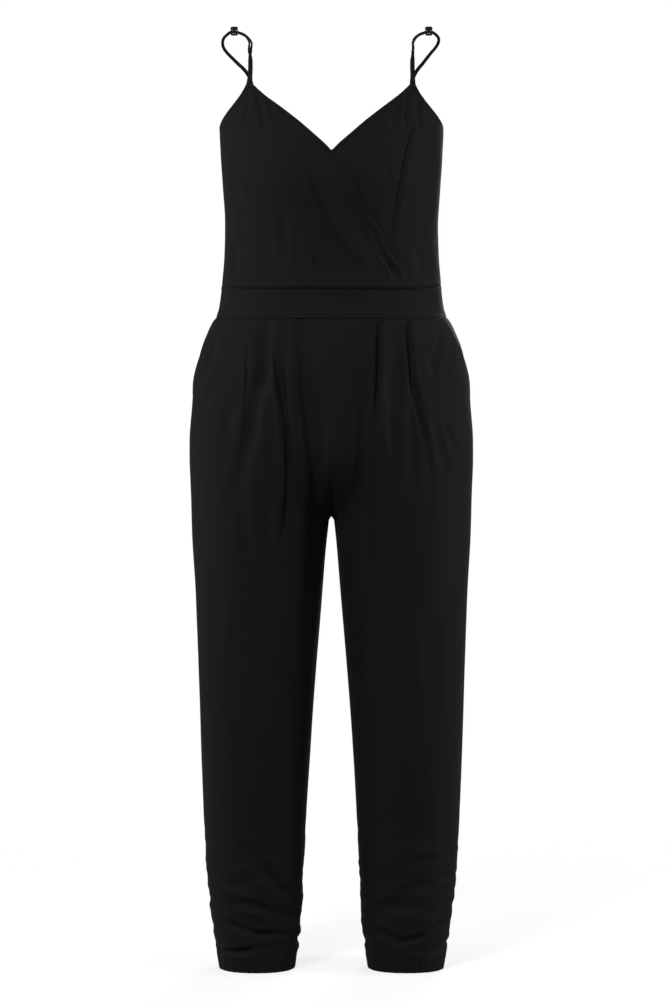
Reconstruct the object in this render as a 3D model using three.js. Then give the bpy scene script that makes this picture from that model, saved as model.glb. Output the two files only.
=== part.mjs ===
// A surplice camisole jumpsuit in black jersey, filled out as when it is worn.
// Millimetres, +Z up, front towards -Y, the wearer's right towards -X.
// The origin lies midway between the tops of the two shoulder straps, which hold it up.
import * as THREE from 'three';

// Cloth
const WALL = 1.6; // jersey with its turned edges
const GAP = 0.3; // left between two pieces at a seam
const LIFT = 1.4; // how far each wrapped front leaves the middle of the pair
const BINDING_WIDTH = 5; // bound neck, wrap and armhole edges
const BINDING_RISE = 0.4; // how far a bound edge stands over its panel
const COVER_DROP = 2.6; // how much deeper the covered part of the left front lies
const COVER_EDGE = { before: 4, after: 3 }; // degrees about the wrap edge in which it sinks
const LAYER_END = { from: 60, to: 88 }; // angles over which a wrapped front comes back to its side seam
const HEM_TURN = 25; // height of the turned trouser hem
const HEM_RISE = 0.8; // how far the turned hem stands over the leg

// Heights are measured down from the strap tops
const CROTCH = 752;
const HEM = 1448.5;
const RISE_START = 640; // where the seat begins to part into two legs
const THIGH = { from: 590, to: 850 }; // the outer thigh turns from seat to leg
const WAIST_TOP = { side: 390.6, frontDip: 20, backRise: 8 };
const WAIST_LOW = { side: 440.2, frontDip: 13.5, backRise: 6 };
const BACK_TOP = { side: 152, centre: 166 };

// Body sections: half width, depth to the front and depth to the back
const BODY_SQUARE = 2.4; // 2 is an ellipse, more is squarer
const BODY = [
  { down: 50, half: 166, front: 68, back: 76 },
  { down: 87, half: 170, front: 80, back: 84 },
  { down: 109, half: 172, front: 90, back: 90 },
  { down: 125, half: 173, front: 96, back: 94 },
  { down: 152, half: 173, front: 108, back: 98 },
  { down: 188, half: 171.5, front: 121, back: 100 },
  { down: 240, half: 168, front: 126, back: 100 },
  { down: 300, half: 164.6, front: 120, back: 98 },
  { down: 350, half: 166, front: 117, back: 100 },
  { down: 394, half: 169.6, front: 118, back: 105 },
  { down: 416, half: 171.7, front: 119.5, back: 107 },
  { down: 440, half: 176.8, front: 121.5, back: 110 },
  { down: 450, half: 184, front: 123.5, back: 112.5 },
  { down: 462, half: 190, front: 125.5, back: 115 },
  { down: 493, half: 202, front: 130, back: 123 },
  { down: 539, half: 212, front: 134, back: 134 },
  { down: 580, half: 215, front: 135, back: 139 },
  { down: 632, half: 219, front: 134, back: 139 },
  { down: 663, half: 219.4, front: 132, back: 136 },
  { down: 725, half: 217, front: 125, back: 128 },
  { down: 760, half: 216, front: 116, back: 120 },
];

// Fullness that the darts and the wrap leave over the bust
const CUP = { angle: 36, down: 234, rise: 5, spread: 24, height: 52 };

// Leg sections: outer and inner edge from the centre plane, depth to the front and back
const LEG_SQUARE = 2.15;
const LEG = [
  { down: 600, outer: 218, inner: 0.2, front: 118, back: 124 },
  { down: 752, outer: 216, inner: 0.2, front: 111, back: 119 },
  { down: 757, outer: 215.8, inner: 3.6, front: 110.5, back: 118.5 },
  { down: 787, outer: 214.7, inner: 7.1, front: 107, back: 114 },
  { down: 880, outer: 209.6, inner: 15, front: 98, back: 103 },
  { down: 1004, outer: 205.3, inner: 25.3, front: 87, back: 91 },
  { down: 1128, outer: 201.3, inner: 33.9, front: 76, back: 84 },
  { down: 1252, outer: 196, inner: 41.1, front: 65, back: 79 },
  { down: 1345, outer: 188.6, inner: 45, front: 59, back: 71 },
  { down: 1400, outer: 181.8, inner: 49.6, front: 54, back: 63 },
  { down: 1438, outer: 174.8, inner: 55.9, front: 50, back: 56 },
  { down: 1449, outer: 173, inner: 57.4, front: 49, back: 54.5 },
];

// Neck and wrap edge of a front: angle past the centre front, negative on its own side
const NECK_EDGE = [
  { down: 84, past: -63.1 },
  { down: 95, past: -59.4 },
  { down: 104, past: -55.9 },
  { down: 121, past: -46.6 },
  { down: 138, past: -35.8 },
  { down: 155, past: -25.1 },
  { down: 172, past: -15.4 },
  { down: 188, past: -7 },
  { down: 200, past: -1 },
  { down: 241, past: 12.1 },
  { down: 288, past: 23.8 },
  { down: 321, past: 33.5 },
  { down: 344, past: 40.7 },
  { down: 371, past: 48.4 },
  { down: 410, past: 56.4 },
];

// Front armhole edge: angle from the centre front
const ARM_EDGE = [
  { down: 84, angle: 64.6 },
  { down: 101, angle: 65 },
  { down: 110, angle: 66 },
  { down: 123.5, angle: 69.2 },
  { down: 136.6, angle: 74.5 },
  { down: 143, angle: 78.4 },
  { down: 148, angle: 83.6 },
  { down: 152, angle: 90 },
];

// Where the bindings begin above the panel
const NECK_TOP = 91.5;
const ARM_TOP = [85, 91];

// Heights of the front panels' rows at the armhole or side, and at the neck or wrap edge
const FRONT_ROWS = [
  { side: 98, edge: 98 },
  { side: 106, edge: 109 },
  { side: 114, edge: 121 },
  { side: 122, edge: 133 },
  { side: 130, edge: 145 },
  { side: 137, edge: 157 },
  { side: 143, edge: 169 },
  { side: 148, edge: 181 },
  { side: 152, edge: 192 },
  { side: 176, edge: 208 },
  { side: 200, edge: 226 },
  { side: 225, edge: 247 },
  { side: 250, edge: 270 },
  { side: 276, edge: 294 },
  { side: 303, edge: 320 },
  { side: 330, edge: 346 },
  { side: 358, edge: 374 },
];

// Pleats of each leg: place from the centre plane and depth, from the waist seam down.
// outer and inner are the two knife pleats, soft is the slack fold that runs to the crotch.
const PLEATS = {
  left: [
    { down: 440, outer: 116, outerDepth: 5, inner: 76, innerDepth: 5, soft: 56, softDepth: 0 },
    { down: 500, outer: 121, outerDepth: 5, inner: 75, innerDepth: 5.5, soft: 56, softDepth: 0.6 },
    { down: 545, outer: 129, outerDepth: 4.5, inner: 73.5, innerDepth: 5, soft: 54, softDepth: 2.2 },
    { down: 587, outer: 138, outerDepth: 3.5, inner: 71, innerDepth: 3.5, soft: 51, softDepth: 3 },
    { down: 640, outer: 147, outerDepth: 1.5, inner: 70, innerDepth: 2, soft: 48, softDepth: 3 },
    { down: 700, outer: 150, outerDepth: 0.4, inner: 69, innerDepth: 1.2, soft: 42, softDepth: 2 },
    { down: 780, outer: 152, outerDepth: 0, inner: 74, innerDepth: 0.6, soft: 41, softDepth: 0.8 },
    { down: 1000, outer: 158, outerDepth: 0, inner: 96, innerDepth: 0, soft: 62, softDepth: 0 },
    { down: 1450, outer: 144, outerDepth: 0, inner: 104, innerDepth: 0, soft: 80, softDepth: 0 },
  ],
  right: [
    { down: 440, outer: 119, outerDepth: 3, inner: 79, innerDepth: 3, soft: 53, softDepth: 0.6 },
    { down: 500, outer: 126, outerDepth: 3.5, inner: 81, innerDepth: 3, soft: 48, softDepth: 3 },
    { down: 545, outer: 129, outerDepth: 3.5, inner: 80, innerDepth: 3.5, soft: 44, softDepth: 3.5 },
    { down: 587, outer: 131, outerDepth: 2, inner: 77.5, innerDepth: 4.5, soft: 40, softDepth: 4 },
    { down: 640, outer: 135, outerDepth: 1, inner: 71, innerDepth: 5, soft: 33, softDepth: 4.5 },
    { down: 700, outer: 142, outerDepth: 0.6, inner: 68, innerDepth: 4, soft: 25, softDepth: 3 },
    { down: 780, outer: 150, outerDepth: 0, inner: 73, innerDepth: 2, soft: 27, softDepth: 1 },
    { down: 1000, outer: 158, outerDepth: 0, inner: 96, innerDepth: 0, soft: 62, softDepth: 0 },
    { down: 1450, outer: 144, outerDepth: 0, inner: 104, innerDepth: 0, soft: 80, softDepth: 0 },
  ],
};
const PLEAT_STEP = 1.5; // half of the width in which a pleat steps down
const PLEAT_REACH = 17; // how far its fold fades out to each side
const SOFT_REACH = 15;

// Long creases: both ends, sideways bow, depth and half width
const BODICE_CREASES = {
  right: [
    { x0: -37, down0: 232, x1: 60, down1: 400, bow: -5, depth: 2.6, reach: 11 },
    { x0: -30, down0: 285, x1: 28, down1: 392, bow: -4, depth: 1.8, reach: 10 },
    { x0: 70, down0: 300, x1: 112, down1: 398, bow: 3, depth: 2.2, reach: 10 },
  ],
  left: [{ x0: 131, down0: 146, x1: 87, down1: 350, bow: -4, depth: 2.8, reach: 9 }],
};
const LEG_CREASES = {
  right: [
    { x0: 134, down0: 1262, x1: 80, down1: 1318, bow: 3, depth: 2.4, reach: 12 },
    { x0: 140, down0: 1335, x1: 72, down1: 1362, bow: 4, depth: 3, reach: 11 },
    { x0: 160, down0: 1384, x1: 66, down1: 1396, bow: 5, depth: 3.4, reach: 10 },
  ],
  left: [
    { x0: 62, down0: 1300, x1: 128, down1: 1330, bow: 3, depth: 2, reach: 12 },
    { x0: 70, down0: 1352, x1: 150, down1: 1372, bow: -4, depth: 2.8, reach: 11 },
    { x0: 66, down0: 1398, x1: 160, down1: 1388, bow: 5, depth: 3.2, reach: 10 },
  ],
};

// Slanted pocket mouth: share of the front, from the side seam to the centre
const POCKET = { top: 430, foot: 571, share: 0.225, curve: 0.85, underlap: 0.085 };
const POCKET_DROP = 3; // how far the side piece lies under the front's surface
const POCKET_RISE = 1; // how far the mouth's edge stands off

// Heights of the trouser rows below the waist seam
const FRONT_LEG_ROWS = [
  458, 474, 494, 516, 540, 565, 590, 615, 640, 664, 687, 708, 725, 738, 747, 751.5, 757, 775, 815,
  890, 980, 1080, 1180, 1260, 1302, 1332, 1352, 1370, 1386, 1402, 1417,
];
const BACK_LEG_ROWS = [
  470, 505, 545, 590, 640, 676, 706, 730, 745, 751.5, 757, 780, 850, 960,
  1080, 1200, 1300, 1352, 1386, 1417,
];
const BACK_LEG_COLUMNS = 13;

// Straps: narrow jersey bands, a folded tab at the front and one adjuster at the top.
// Routes are given on the wearer's left and mirrored; y is negative in front.
const TAB = { width: 7, neck: 3, thick: 1, angle: 63.6, foot: 106, head: 94, seat: 1.5, apart: 0.8 };
const TAB_TOP = { x: 124.6, y: -44, z: -39.5 };
const TAB_ROUTE = [
  { x: 124, y: -55.4, z: -78, layer: 1 },
  { x: 123.7, y: -49.6, z: -58, layer: 0.5 },
];
const EYE = [
  { drop: 8, apart: 0.8 },
  { drop: 6, apart: 1.3 },
  { drop: 4.4, apart: 2.2 },
  { drop: 3, apart: 2.7 },
  { drop: 1.6, apart: 2.5 },
  { drop: 0.6, apart: 1.7 },
  { drop: 0.1, apart: 0.8 },
];
const EYE_LEAN = 0.25; // how far the eye leans forwards as it goes down
const STRAP = { width: 4.4, pinch: 2, thick: 1, spread: 4.6, pair: 1.5 };
const STRAP_TURN = [
  { aside: -2.3, drop: 0.4 },
  { aside: -2.07, drop: 1.3 },
  { aside: -1.5, drop: 1.6 },
  { aside: 0, drop: 1.7 },
  { aside: 1.5, drop: 1.6 },
  { aside: 2.07, drop: 1.3 },
  { aside: 2.3, drop: 0.4 },
];
const DOUBLE_ROUTE = [
  { x: 127.4, y: -40, z: -33 },
  { x: 128.9, y: -32, z: -24.5 },
  { x: 132.2, y: -20, z: -15.5 },
  { x: 137, y: -9, z: -8.3 },
  { x: 141, y: -2, z: -3.6 },
];
// The left strap's loop is narrower: nearer is how far its points lie towards the centre.
const SINGLE_ROUTE = [
  { x: 162.5, y: 5, z: -3.6, nearer: 0 },
  { x: 167.8, y: 12, z: -7.6, nearer: 1.2 },
  { x: 169.8, y: 20, z: -13, nearer: 3.6 },
  { x: 168.5, y: 29, z: -19, nearer: 6.6 },
  { x: 163, y: 38, z: -25.3, nearer: 7.6 },
  { x: 155.6, y: 48, z: -31.3, nearer: 6.2 },
  { x: 147.4, y: 58, z: -37.7, nearer: 4.1 },
  { x: 139.1, y: 68, z: -43.9, nearer: 2.3 },
  { x: 132.4, y: 76, z: -51.4, nearer: 1 },
  { x: 128.6, y: 79, z: -60, nearer: 0.3 },
  { x: 122, y: 79.5, z: -90, nearer: 0 },
  { x: 114, y: 79, z: -122, nearer: 0 },
];
const STRAP_END = { angle: 127.5, head: 146, foot: 168, seat: 0.6 };
const SLIDER = {
  x: 150.8, along: 11.4, across: 14, low: 5.6, thick: 1.8, rail: 1.4, slot: 3.4, open: 5, corner: 2.4,
};
const WEAVE = [
  { along: -5.7, back: 1.8 },
  { along: -4.4, back: 1.75 },
  { along: -3.6, back: 1.6 },
  { along: -2.6, back: 0 },
  { along: -1.6, back: -1.6 },
  { along: -0.8, back: -1.75 },
  { along: 0.8, back: -1.75 },
  { along: 1.6, back: -1.6 },
  { along: 2.6, back: 0 },
  { along: 3.6, back: 1.6 },
  { along: 4.4, back: 1.75 },
  { along: 5.7, back: 1.8 },
];

const JERSEY = { color: 0x17171a, roughness: 0.9, metalness: 0 };
const EDGING = { color: 0x141417, roughness: 0.85, metalness: 0 };
const PLASTIC = { color: 0x1a1a1c, roughness: 0.45, metalness: 0 };

const rad = THREE.MathUtils.degToRad;
const lerp = THREE.MathUtils.lerp;
const smooth = THREE.MathUtils.smoothstep;
const clamp = THREE.MathUtils.clamp;

// A smooth curve through one column of a table, without overshoot between its rows.
function tableCurve(table, key, column) {
  const x = table.map((row) => row[key]);
  const y = table.map((row) => row[column]);
  const slopes = x.slice(1).map((value, i) => (y[i + 1] - y[i]) / (value - x[i]));
  const tangents = x.map((value, i) => {
    const before = slopes[Math.max(i - 1, 0)];
    const after = slopes[Math.min(i, slopes.length - 1)];
    return before * after <= 0 ? 0 : (2 * before * after) / (before + after);
  });
  return (at) => {
    let i = 0;
    while (i < x.length - 2 && at > x[i + 1]) i += 1;
    const span = x[i + 1] - x[i];
    const t = clamp((at - x[i]) / span, 0, 1);
    const rise = y[i + 1] - y[i];
    const a = tangents[i] * span - rise;
    const b = rise - tangents[i + 1] * span;
    return y[i] + rise * t + t * (1 - t) * (a * (1 - t) + b * t);
  };
}

function tableCurves(table, key) {
  const columns = Object.keys(table[0]).filter((column) => column !== key);
  return Object.fromEntries(columns.map((column) => [column, tableCurve(table, key, column)]));
}

const body = tableCurves(BODY, 'down');
const leg = tableCurves(LEG, 'down');
const pleats = { left: tableCurves(PLEATS.left, 'down'), right: tableCurves(PLEATS.right, 'down') };
const neckPast = tableCurve(NECK_EDGE, 'down', 'past');
const armAngle = tableCurve(ARM_EDGE, 'down', 'angle');

// Distance from the axis of a squared ellipse, in a direction given by its sine and cosine.
function squareRadius(sine, cosine, half, depth, square) {
  return (Math.abs(sine / half) ** square + Math.abs(cosine / depth) ** square) ** (-1 / square);
}

// The body's surface: angle 0 is the centre front, 90 the wearer's left side, 180 the back.
function bodyForm(angle, down) {
  const sine = Math.sin(rad(angle));
  const cosine = Math.cos(rad(angle));
  const depth = cosine > 0 ? body.front(down) : body.back(down);
  const across = (Math.abs(angle) - CUP.angle) / CUP.spread;
  const along = (down - CUP.down) / CUP.height;
  const fullness = CUP.rise * Math.exp(-across * across - along * along);
  const radius = squareRadius(sine, cosine, body.half(down), depth, BODY_SQUARE) + fullness;
  return new THREE.Vector3(radius * sine, -radius * cosine, -down);
}

// How far a quarter has turned from the seat into a leg: the centre seam curves under at the
// crotch, and the rest of the cloth follows slowly.
function legParting(share, down) {
  const reach = clamp((down - RISE_START) / (CROTCH - RISE_START), 0, 1);
  const centre = 1 - (1 - reach * reach) ** 0.62;
  const rest = smooth(down, THIGH.from, THIGH.to);
  return lerp(rest, centre, smooth(share, 0.45, 0.97));
}

// One quarter of the seat and leg on the wearer's left: share 0 is the side seam and
// 1 the centre seam, which becomes the inseam below the crotch. face is 1 in front, -1 behind.
function trouserForm(face) {
  return (share, down) => {
    const turn = rad(90 * (1 - share));
    const depth = face > 0 ? body.front(down) : body.back(down);
    const seatRadius = squareRadius(Math.sin(turn), Math.cos(turn), body.half(down), depth, BODY_SQUARE);
    const seat = new THREE.Vector2(seatRadius * Math.sin(turn), -face * seatRadius * Math.cos(turn));
    const parting = legParting(share, down);
    const centre = (leg.outer(down) + leg.inner(down)) / 2;
    const half = (leg.outer(down) - leg.inner(down)) / 2;
    const legDepth = face > 0 ? leg.front(down) : leg.back(down);
    const legTurn = Math.PI * share;
    const legRadius = squareRadius(Math.cos(legTurn), Math.sin(legTurn), half, legDepth, LEG_SQUARE);
    const x = centre + legRadius * Math.cos(legTurn);
    const y = -face * legRadius * Math.sin(legTurn);
    return new THREE.Vector3(lerp(seat.x, x, parting), lerp(seat.y, y, parting), -down);
  };
}

// Unit normal of a form, pointing away from an upright axis through (axisX, 0).
function formNormal(form, p, q, stepP, axisX) {
  const stepQ = 0.5;
  const alongP = form(p + stepP, q).sub(form(p - stepP, q));
  const alongQ = form(p, q + stepQ).sub(form(p, q - stepQ));
  const normal = alongP.cross(alongQ).normalize();
  const point = form(p, q);
  const outward = normal.x * (point.x - axisX) + normal.y * point.y;
  return outward < 0 ? normal.negate() : normal;
}

const bodyNormal = (angle, down) => formNormal(bodyForm, angle, down, 0.2, 0);

// Height of a waist seam at an angle of the body.
function seamDown(seam, angle) {
  const cosine = Math.cos(rad(angle));
  const fade = 1 - (1 - Math.abs(cosine)) ** 2;
  return seam.side + (cosine > 0 ? seam.frontDip : -seam.backRise) * fade;
}

// Depth of a long crease at (x, down): a soft trough along a bowed line, fading at its ends.
function creaseDepth(crease, x, down) {
  const dx = crease.x1 - crease.x0;
  const dd = crease.down1 - crease.down0;
  const length = Math.hypot(dx, dd);
  const t = ((x - crease.x0) * dx + (down - crease.down0) * dd) / (length * length);
  const aside = ((x - crease.x0) * dd - (down - crease.down0) * dx) / length;
  const bow = crease.bow * 4 * t * (1 - t);
  const fade = smooth(t, -0.05, 0.3) * (1 - smooth(t, 0.7, 1.05));
  return crease.depth * fade * Math.exp(-(((aside - bow) / crease.reach) ** 2));
}

const creasesDepth = (creases, x, down) =>
  creases.reduce((sum, crease) => sum + creaseDepth(crease, x, down), 0);

// A closed body between an outer and an inner grid of points, both [row][column].
function shell(name, outer, inner, finish) {
  const rows = outer.length;
  const columns = outer[0].length;
  const points = [...outer.flat(), ...inner.flat()];
  const half = rows * columns;
  const indices = [];
  const quad = (a, b, c, d) => indices.push(a, b, c, a, c, d);
  for (let i = 0; i < rows - 1; i += 1) {
    for (let j = 0; j < columns - 1; j += 1) {
      const a = i * columns + j;
      quad(a, a + 1, a + columns + 1, a + columns);
      quad(half + a, half + a + columns, half + a + columns + 1, half + a + 1);
    }
  }
  const rim = [];
  for (let j = 0; j < columns - 1; j += 1) rim.push([j, 0]);
  for (let i = 0; i < rows - 1; i += 1) rim.push([columns - 1, i]);
  for (let j = columns - 1; j > 0; j -= 1) rim.push([j, rows - 1]);
  for (let i = rows - 1; i > 0; i -= 1) rim.push([0, i]);
  const at = rim.map(([j, i]) => i * columns + j);
  at.forEach((a, k) => {
    const b = at[(k + 1) % at.length];
    quad(b, a, half + a, half + b);
  });
  let volume = 0;
  for (let k = 0; k < indices.length; k += 3) {
    const [a, b, c] = indices.slice(k, k + 3).map((index) => points[index]);
    volume += a.dot(new THREE.Vector3().crossVectors(b, c));
  }
  if (volume < 0) indices.reverse();
  const geometry = new THREE.BufferGeometry();
  const numbers = points.flatMap((point) => point.toArray());
  geometry.setAttribute('position', new THREE.Float32BufferAttribute(numbers, 3));
  geometry.setIndex(indices);
  geometry.computeVertexNormals();
  return solid(name, geometry, finish);
}

function solid(name, geometry, finish) {
  const mesh = new THREE.Mesh(geometry, new THREE.MeshStandardMaterial(finish));
  mesh.name = name;
  return mesh;
}

// Cloth over the body: a grid of {angle, down}, each point moved out by offset(angle, down, point).
function bodyCloth(name, grid, offset, finish = JERSEY, rise = 0) {
  const sides = { outer: [], inner: [] };
  grid.forEach((row) => {
    const outer = [];
    const inner = [];
    row.forEach(({ angle, down }) => {
      const point = bodyForm(angle, down);
      const normal = bodyNormal(angle, down);
      const out = offset(angle, down, point);
      outer.push(point.clone().addScaledVector(normal, out + rise));
      inner.push(point.clone().addScaledVector(normal, out - WALL));
    });
    sides.outer.push(outer);
    sides.inner.push(inner);
  });
  return shell(name, sides.outer, sides.inner, finish);
}

// Moves a point of an edge into its panel by a width measured on the cloth.
function insetEdge(angleAt, down, width, inward) {
  const step = 0.5;
  const angle = angleAt(down);
  const radius = Math.hypot(bodyForm(angle, down).x, bodyForm(angle, down).y);
  const across = rad(angleAt(down + step) - angleAt(down - step)) * radius;
  const length = Math.hypot(across, 2 * step);
  return {
    angle: angle + ((inward * 2 * step) / length / radius) * width * (180 / Math.PI),
    down: down - ((inward * across) / length) * width,
  };
}

const range = (count) => Array.from({ length: count }, (unused, i) => i / (count - 1));

// Rows across a panel from one edge to the other; low rows take up the dip of a seam.
function rowsBetween(ends, columns, seam) {
  return ends.map(({ from, to, follow = 0 }) =>
    range(columns).map((t) => {
      const angle = lerp(from.angle, to.angle, t);
      const dip = seamDown(seam, angle) - lerp(seamDown(seam, from.angle), seamDown(seam, to.angle), t);
      return { angle, down: lerp(from.down, to.down, t) + follow * dip };
    }),
  );
}

// The two wrapped fronts: the wearer's right one lies over the left one.
const seamAngle = (down) => ((GAP / 2 / body.half(down)) * 180) / Math.PI;

function frontOffset(side) {
  const layer = side < 0 ? LIFT : -LIFT;
  const creases = side < 0 ? BODICE_CREASES.right : BODICE_CREASES.left;
  return (angle, down, point) => {
    const overlap = 1 - smooth(side * angle, LAYER_END.from, LAYER_END.to);
    const aboveSeam = 1 - smooth(down, 372, 400);
    const behind = neckPast(down) - angle;
    const covered = side > 0 ? smooth(behind, -COVER_EDGE.before, COVER_EDGE.after) : 0;
    const sunk = COVER_DROP * covered * smooth(down, 205, 225);
    return layer * overlap - (creasesDepth(creases, point.x, down) + sunk) * aboveSeam;
  };
}

function frontEdges(side) {
  const neck = (down) => -side * neckPast(down);
  const arm = (down) => side * armAngle(clamp(down, ARM_EDGE[0].down, BACK_TOP.side));
  return { neck, arm };
}

// Where the neck or wrap edge runs into the waist seam.
function wrapEnd(neck) {
  let down = WAIST_TOP.side + WAIST_TOP.frontDip / 2;
  for (let i = 0; i < 20; i += 1) down = seamDown(WAIST_TOP, neck(down)) - GAP / 2;
  return down;
}

// Points a width inside the neck and wrap edge, one for each row of the front.
function neckPoints(side, width, rows = FRONT_ROWS) {
  const { neck } = frontEdges(side);
  const points = rows.map((row) => insetEdge(neck, row.edge, width, side));
  const corner = insetEdge(neck, wrapEnd(neck), width, side);
  corner.down = seamDown(WAIST_TOP, corner.angle) - GAP / 2;
  return [...points, corner];
}

// Points a width inside the armhole edge, one for each row down to the underarm.
function armPoints(side, width, rows = FRONT_ROWS) {
  const { arm } = frontEdges(side);
  const above = rows.filter((row) => row.side < BACK_TOP.side);
  const points = above.map((row) => insetEdge(arm, row.side, width, -side));
  const underarm = { angle: side * (90 - seamAngle(BACK_TOP.side)), down: BACK_TOP.side + width };
  return [...points, underarm];
}

function bodiceFront(name, side) {
  const inset = BINDING_WIDTH + GAP;
  const edge = neckPoints(side, inset);
  const arm = armPoints(side, inset);
  const below = [...FRONT_ROWS.slice(arm.length).map((row) => row.side), WAIST_TOP.side - GAP / 2];
  const seam = below.map((down) => ({ angle: side * (90 - seamAngle(down)), down }));
  const starts = [...arm, ...seam];
  const ends = edge.map((to, i) => {
    const follow = smooth(i, edge.length - 7, edge.length - 1);
    return { from: starts[i], to, follow };
  });
  return bodyCloth(name, rowsBetween(ends, 13, WAIST_TOP), frontOffset(side));
}

// A bound edge: a narrow folded strip between two lines of points.
function edgeBinding(name, outerEdge, innerEdge, offset) {
  const grid = outerEdge.map((point, i) => [point, innerEdge[i]]);
  return bodyCloth(name, grid, offset, EDGING, BINDING_RISE);
}

function neckBinding(name, side) {
  const rows = [{ edge: NECK_TOP }, ...FRONT_ROWS];
  const edges = [0, BINDING_WIDTH].map((width) => neckPoints(side, width, rows));
  return edgeBinding(name, ...edges, frontOffset(side));
}

function armholeBinding(name, side) {
  const rows = [...ARM_TOP.map((down) => ({ side: down })), ...FRONT_ROWS];
  const edges = [0, BINDING_WIDTH].map((width) => armPoints(side, width, rows));
  return edgeBinding(name, ...edges, frontOffset(side));
}

function backTop(angle) {
  const towardsCentre = smooth(Math.abs(Math.cos(rad(angle))), 0, 0.8);
  return lerp(BACK_TOP.side, BACK_TOP.centre, towardsCentre);
}

function bodiceBack() {
  const columns = 17;
  const rows = 11;
  const grid = range(rows).map((v) =>
    range(columns).map((t) => {
      const angle = lerp(90 + seamAngle(300), 270 - seamAngle(300), t);
      const top = backTop(angle) + BINDING_WIDTH + GAP;
      return { angle, down: lerp(top, seamDown(WAIST_TOP, angle) - GAP / 2, v) };
    }),
  );
  return bodyCloth('bodice_back', grid, () => 0);
}

function backBinding() {
  const grid = [0, 1].map((v) =>
    range(25).map((t) => {
      const angle = lerp(90 + seamAngle(152), 270 - seamAngle(152), t);
      return { angle, down: backTop(angle) + v * BINDING_WIDTH };
    }),
  );
  return bodyCloth('back_binding', grid, () => 0, EDGING, BINDING_RISE);
}

function waistband(name, from, to) {
  const grid = range(4).map((v) =>
    range(23).map((t) => {
      const angle = lerp(from + seamAngle(415), to - seamAngle(415), t);
      const top = seamDown(WAIST_TOP, angle) + GAP / 2;
      return { angle, down: lerp(top, seamDown(WAIST_LOW, angle) - GAP / 2, v) };
    }),
  );
  return bodyCloth(name, grid, () => 0);
}

// The share of a form at which its distance from the centre plane is x.
function shareAt(form, x, down) {
  let [low, high] = [0, 1];
  for (let i = 0; i < 24; i += 1) {
    const middle = (low + high) / 2;
    if (form(middle, down).x > x) low = middle;
    else high = middle;
  }
  return (low + high) / 2;
}

const mouthShare = (down) => {
  const t = clamp((POCKET.foot - down) / (POCKET.foot - POCKET.top), 0, 1);
  return POCKET.share * t ** POCKET.curve;
};

// A knife pleat steps down towards the centre; each side of the step fades back to the cloth.
function pleatOffset(aside, depth) {
  const step = Math.tanh(aside / PLEAT_STEP);
  const fade = Math.exp(-Math.abs(aside) / PLEAT_REACH);
  return depth * 0.5 * step * fade * (aside > 0 ? 1.3 : 0.7);
}

function legOffset(sideName, face) {
  const folds = pleats[sideName];
  const creases = LEG_CREASES[sideName];
  return (share, down, point) => {
    const ankle = creasesDepth(creases, point.x, down) * smooth(Math.abs(point.y), 8, 30);
    const turnedHem = HEM_RISE * smooth(down, HEM - HEM_TURN - 4, HEM - HEM_TURN + 1);
    if (face < 0) return turnedHem - ankle;
    const outer = pleatOffset(point.x - folds.outer(down), folds.outerDepth(down));
    const inner = pleatOffset(point.x - folds.inner(down), folds.innerDepth(down));
    const slack = folds.softDepth(down) * Math.exp(-(((point.x - folds.soft(down)) / SOFT_REACH) ** 2));
    const mouth = mouthShare(down);
    const edge = mouth > 0 ? 1 - smooth(share - mouth, 0, 0.12) : 0;
    const standing = POCKET_RISE * edge * (1 - smooth(down, POCKET.foot - 30, POCKET.foot - 6));
    return outer + inner - slack - ankle + turnedHem + standing;
  };
}

// Cloth over a leg: a grid of {share, down}, mirrored to the wearer's right where side is -1.
function legCloth(name, side, face, grid, offset) {
  const form = trouserForm(face);
  const outer = [];
  const inner = [];
  grid.forEach((row) => {
    const faces = row.map(({ share, down }) => {
      const point = form(share, down);
      const axis = (leg.outer(down) + leg.inner(down)) / 2;
      const normal = formNormal(form, share, down, 0.002, axis);
      const out = offset(share, down, point);
      const thick = WALL + HEM_RISE * smooth(down, HEM - HEM_TURN - 4, HEM - HEM_TURN + 1);
      return [out, out - thick].map((d) => {
        const moved = point.clone().addScaledVector(normal, d);
        moved.x *= side;
        moved.z = -down + (moved.z + down) * smooth(HEM - down, 0, 6);
        return moved;
      });
    });
    outer.push(faces.map((pair) => pair[0]));
    inner.push(faces.map((pair) => pair[1]));
  });
  return shell(name, outer, inner, JERSEY);
}

// Share that leaves half a seam gap at one end of a row.
function endShare(form, share, down) {
  const step = share < 0.5 ? 0.004 : -0.004;
  const length = form(share + step, down).distanceTo(form(share, down)) / Math.abs(step);
  return share + Math.sign(step) * (GAP / 2 / length);
}

// The trouser rows begin along the waist seam and fall level below it.
function seatDown(share, down, first) {
  const seam = seamDown(WAIST_LOW, 90 * (1 - share)) + GAP / 2;
  const level = WAIST_LOW.side + GAP / 2;
  return first ? seam : down + (seam - level) * (1 - smooth(down, WAIST_LOW.side, 560));
}

function backSeatDown(share, down, first) {
  const seam = seamDown(WAIST_LOW, 90 + 90 * share) + GAP / 2;
  return first ? seam : down;
}

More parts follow.
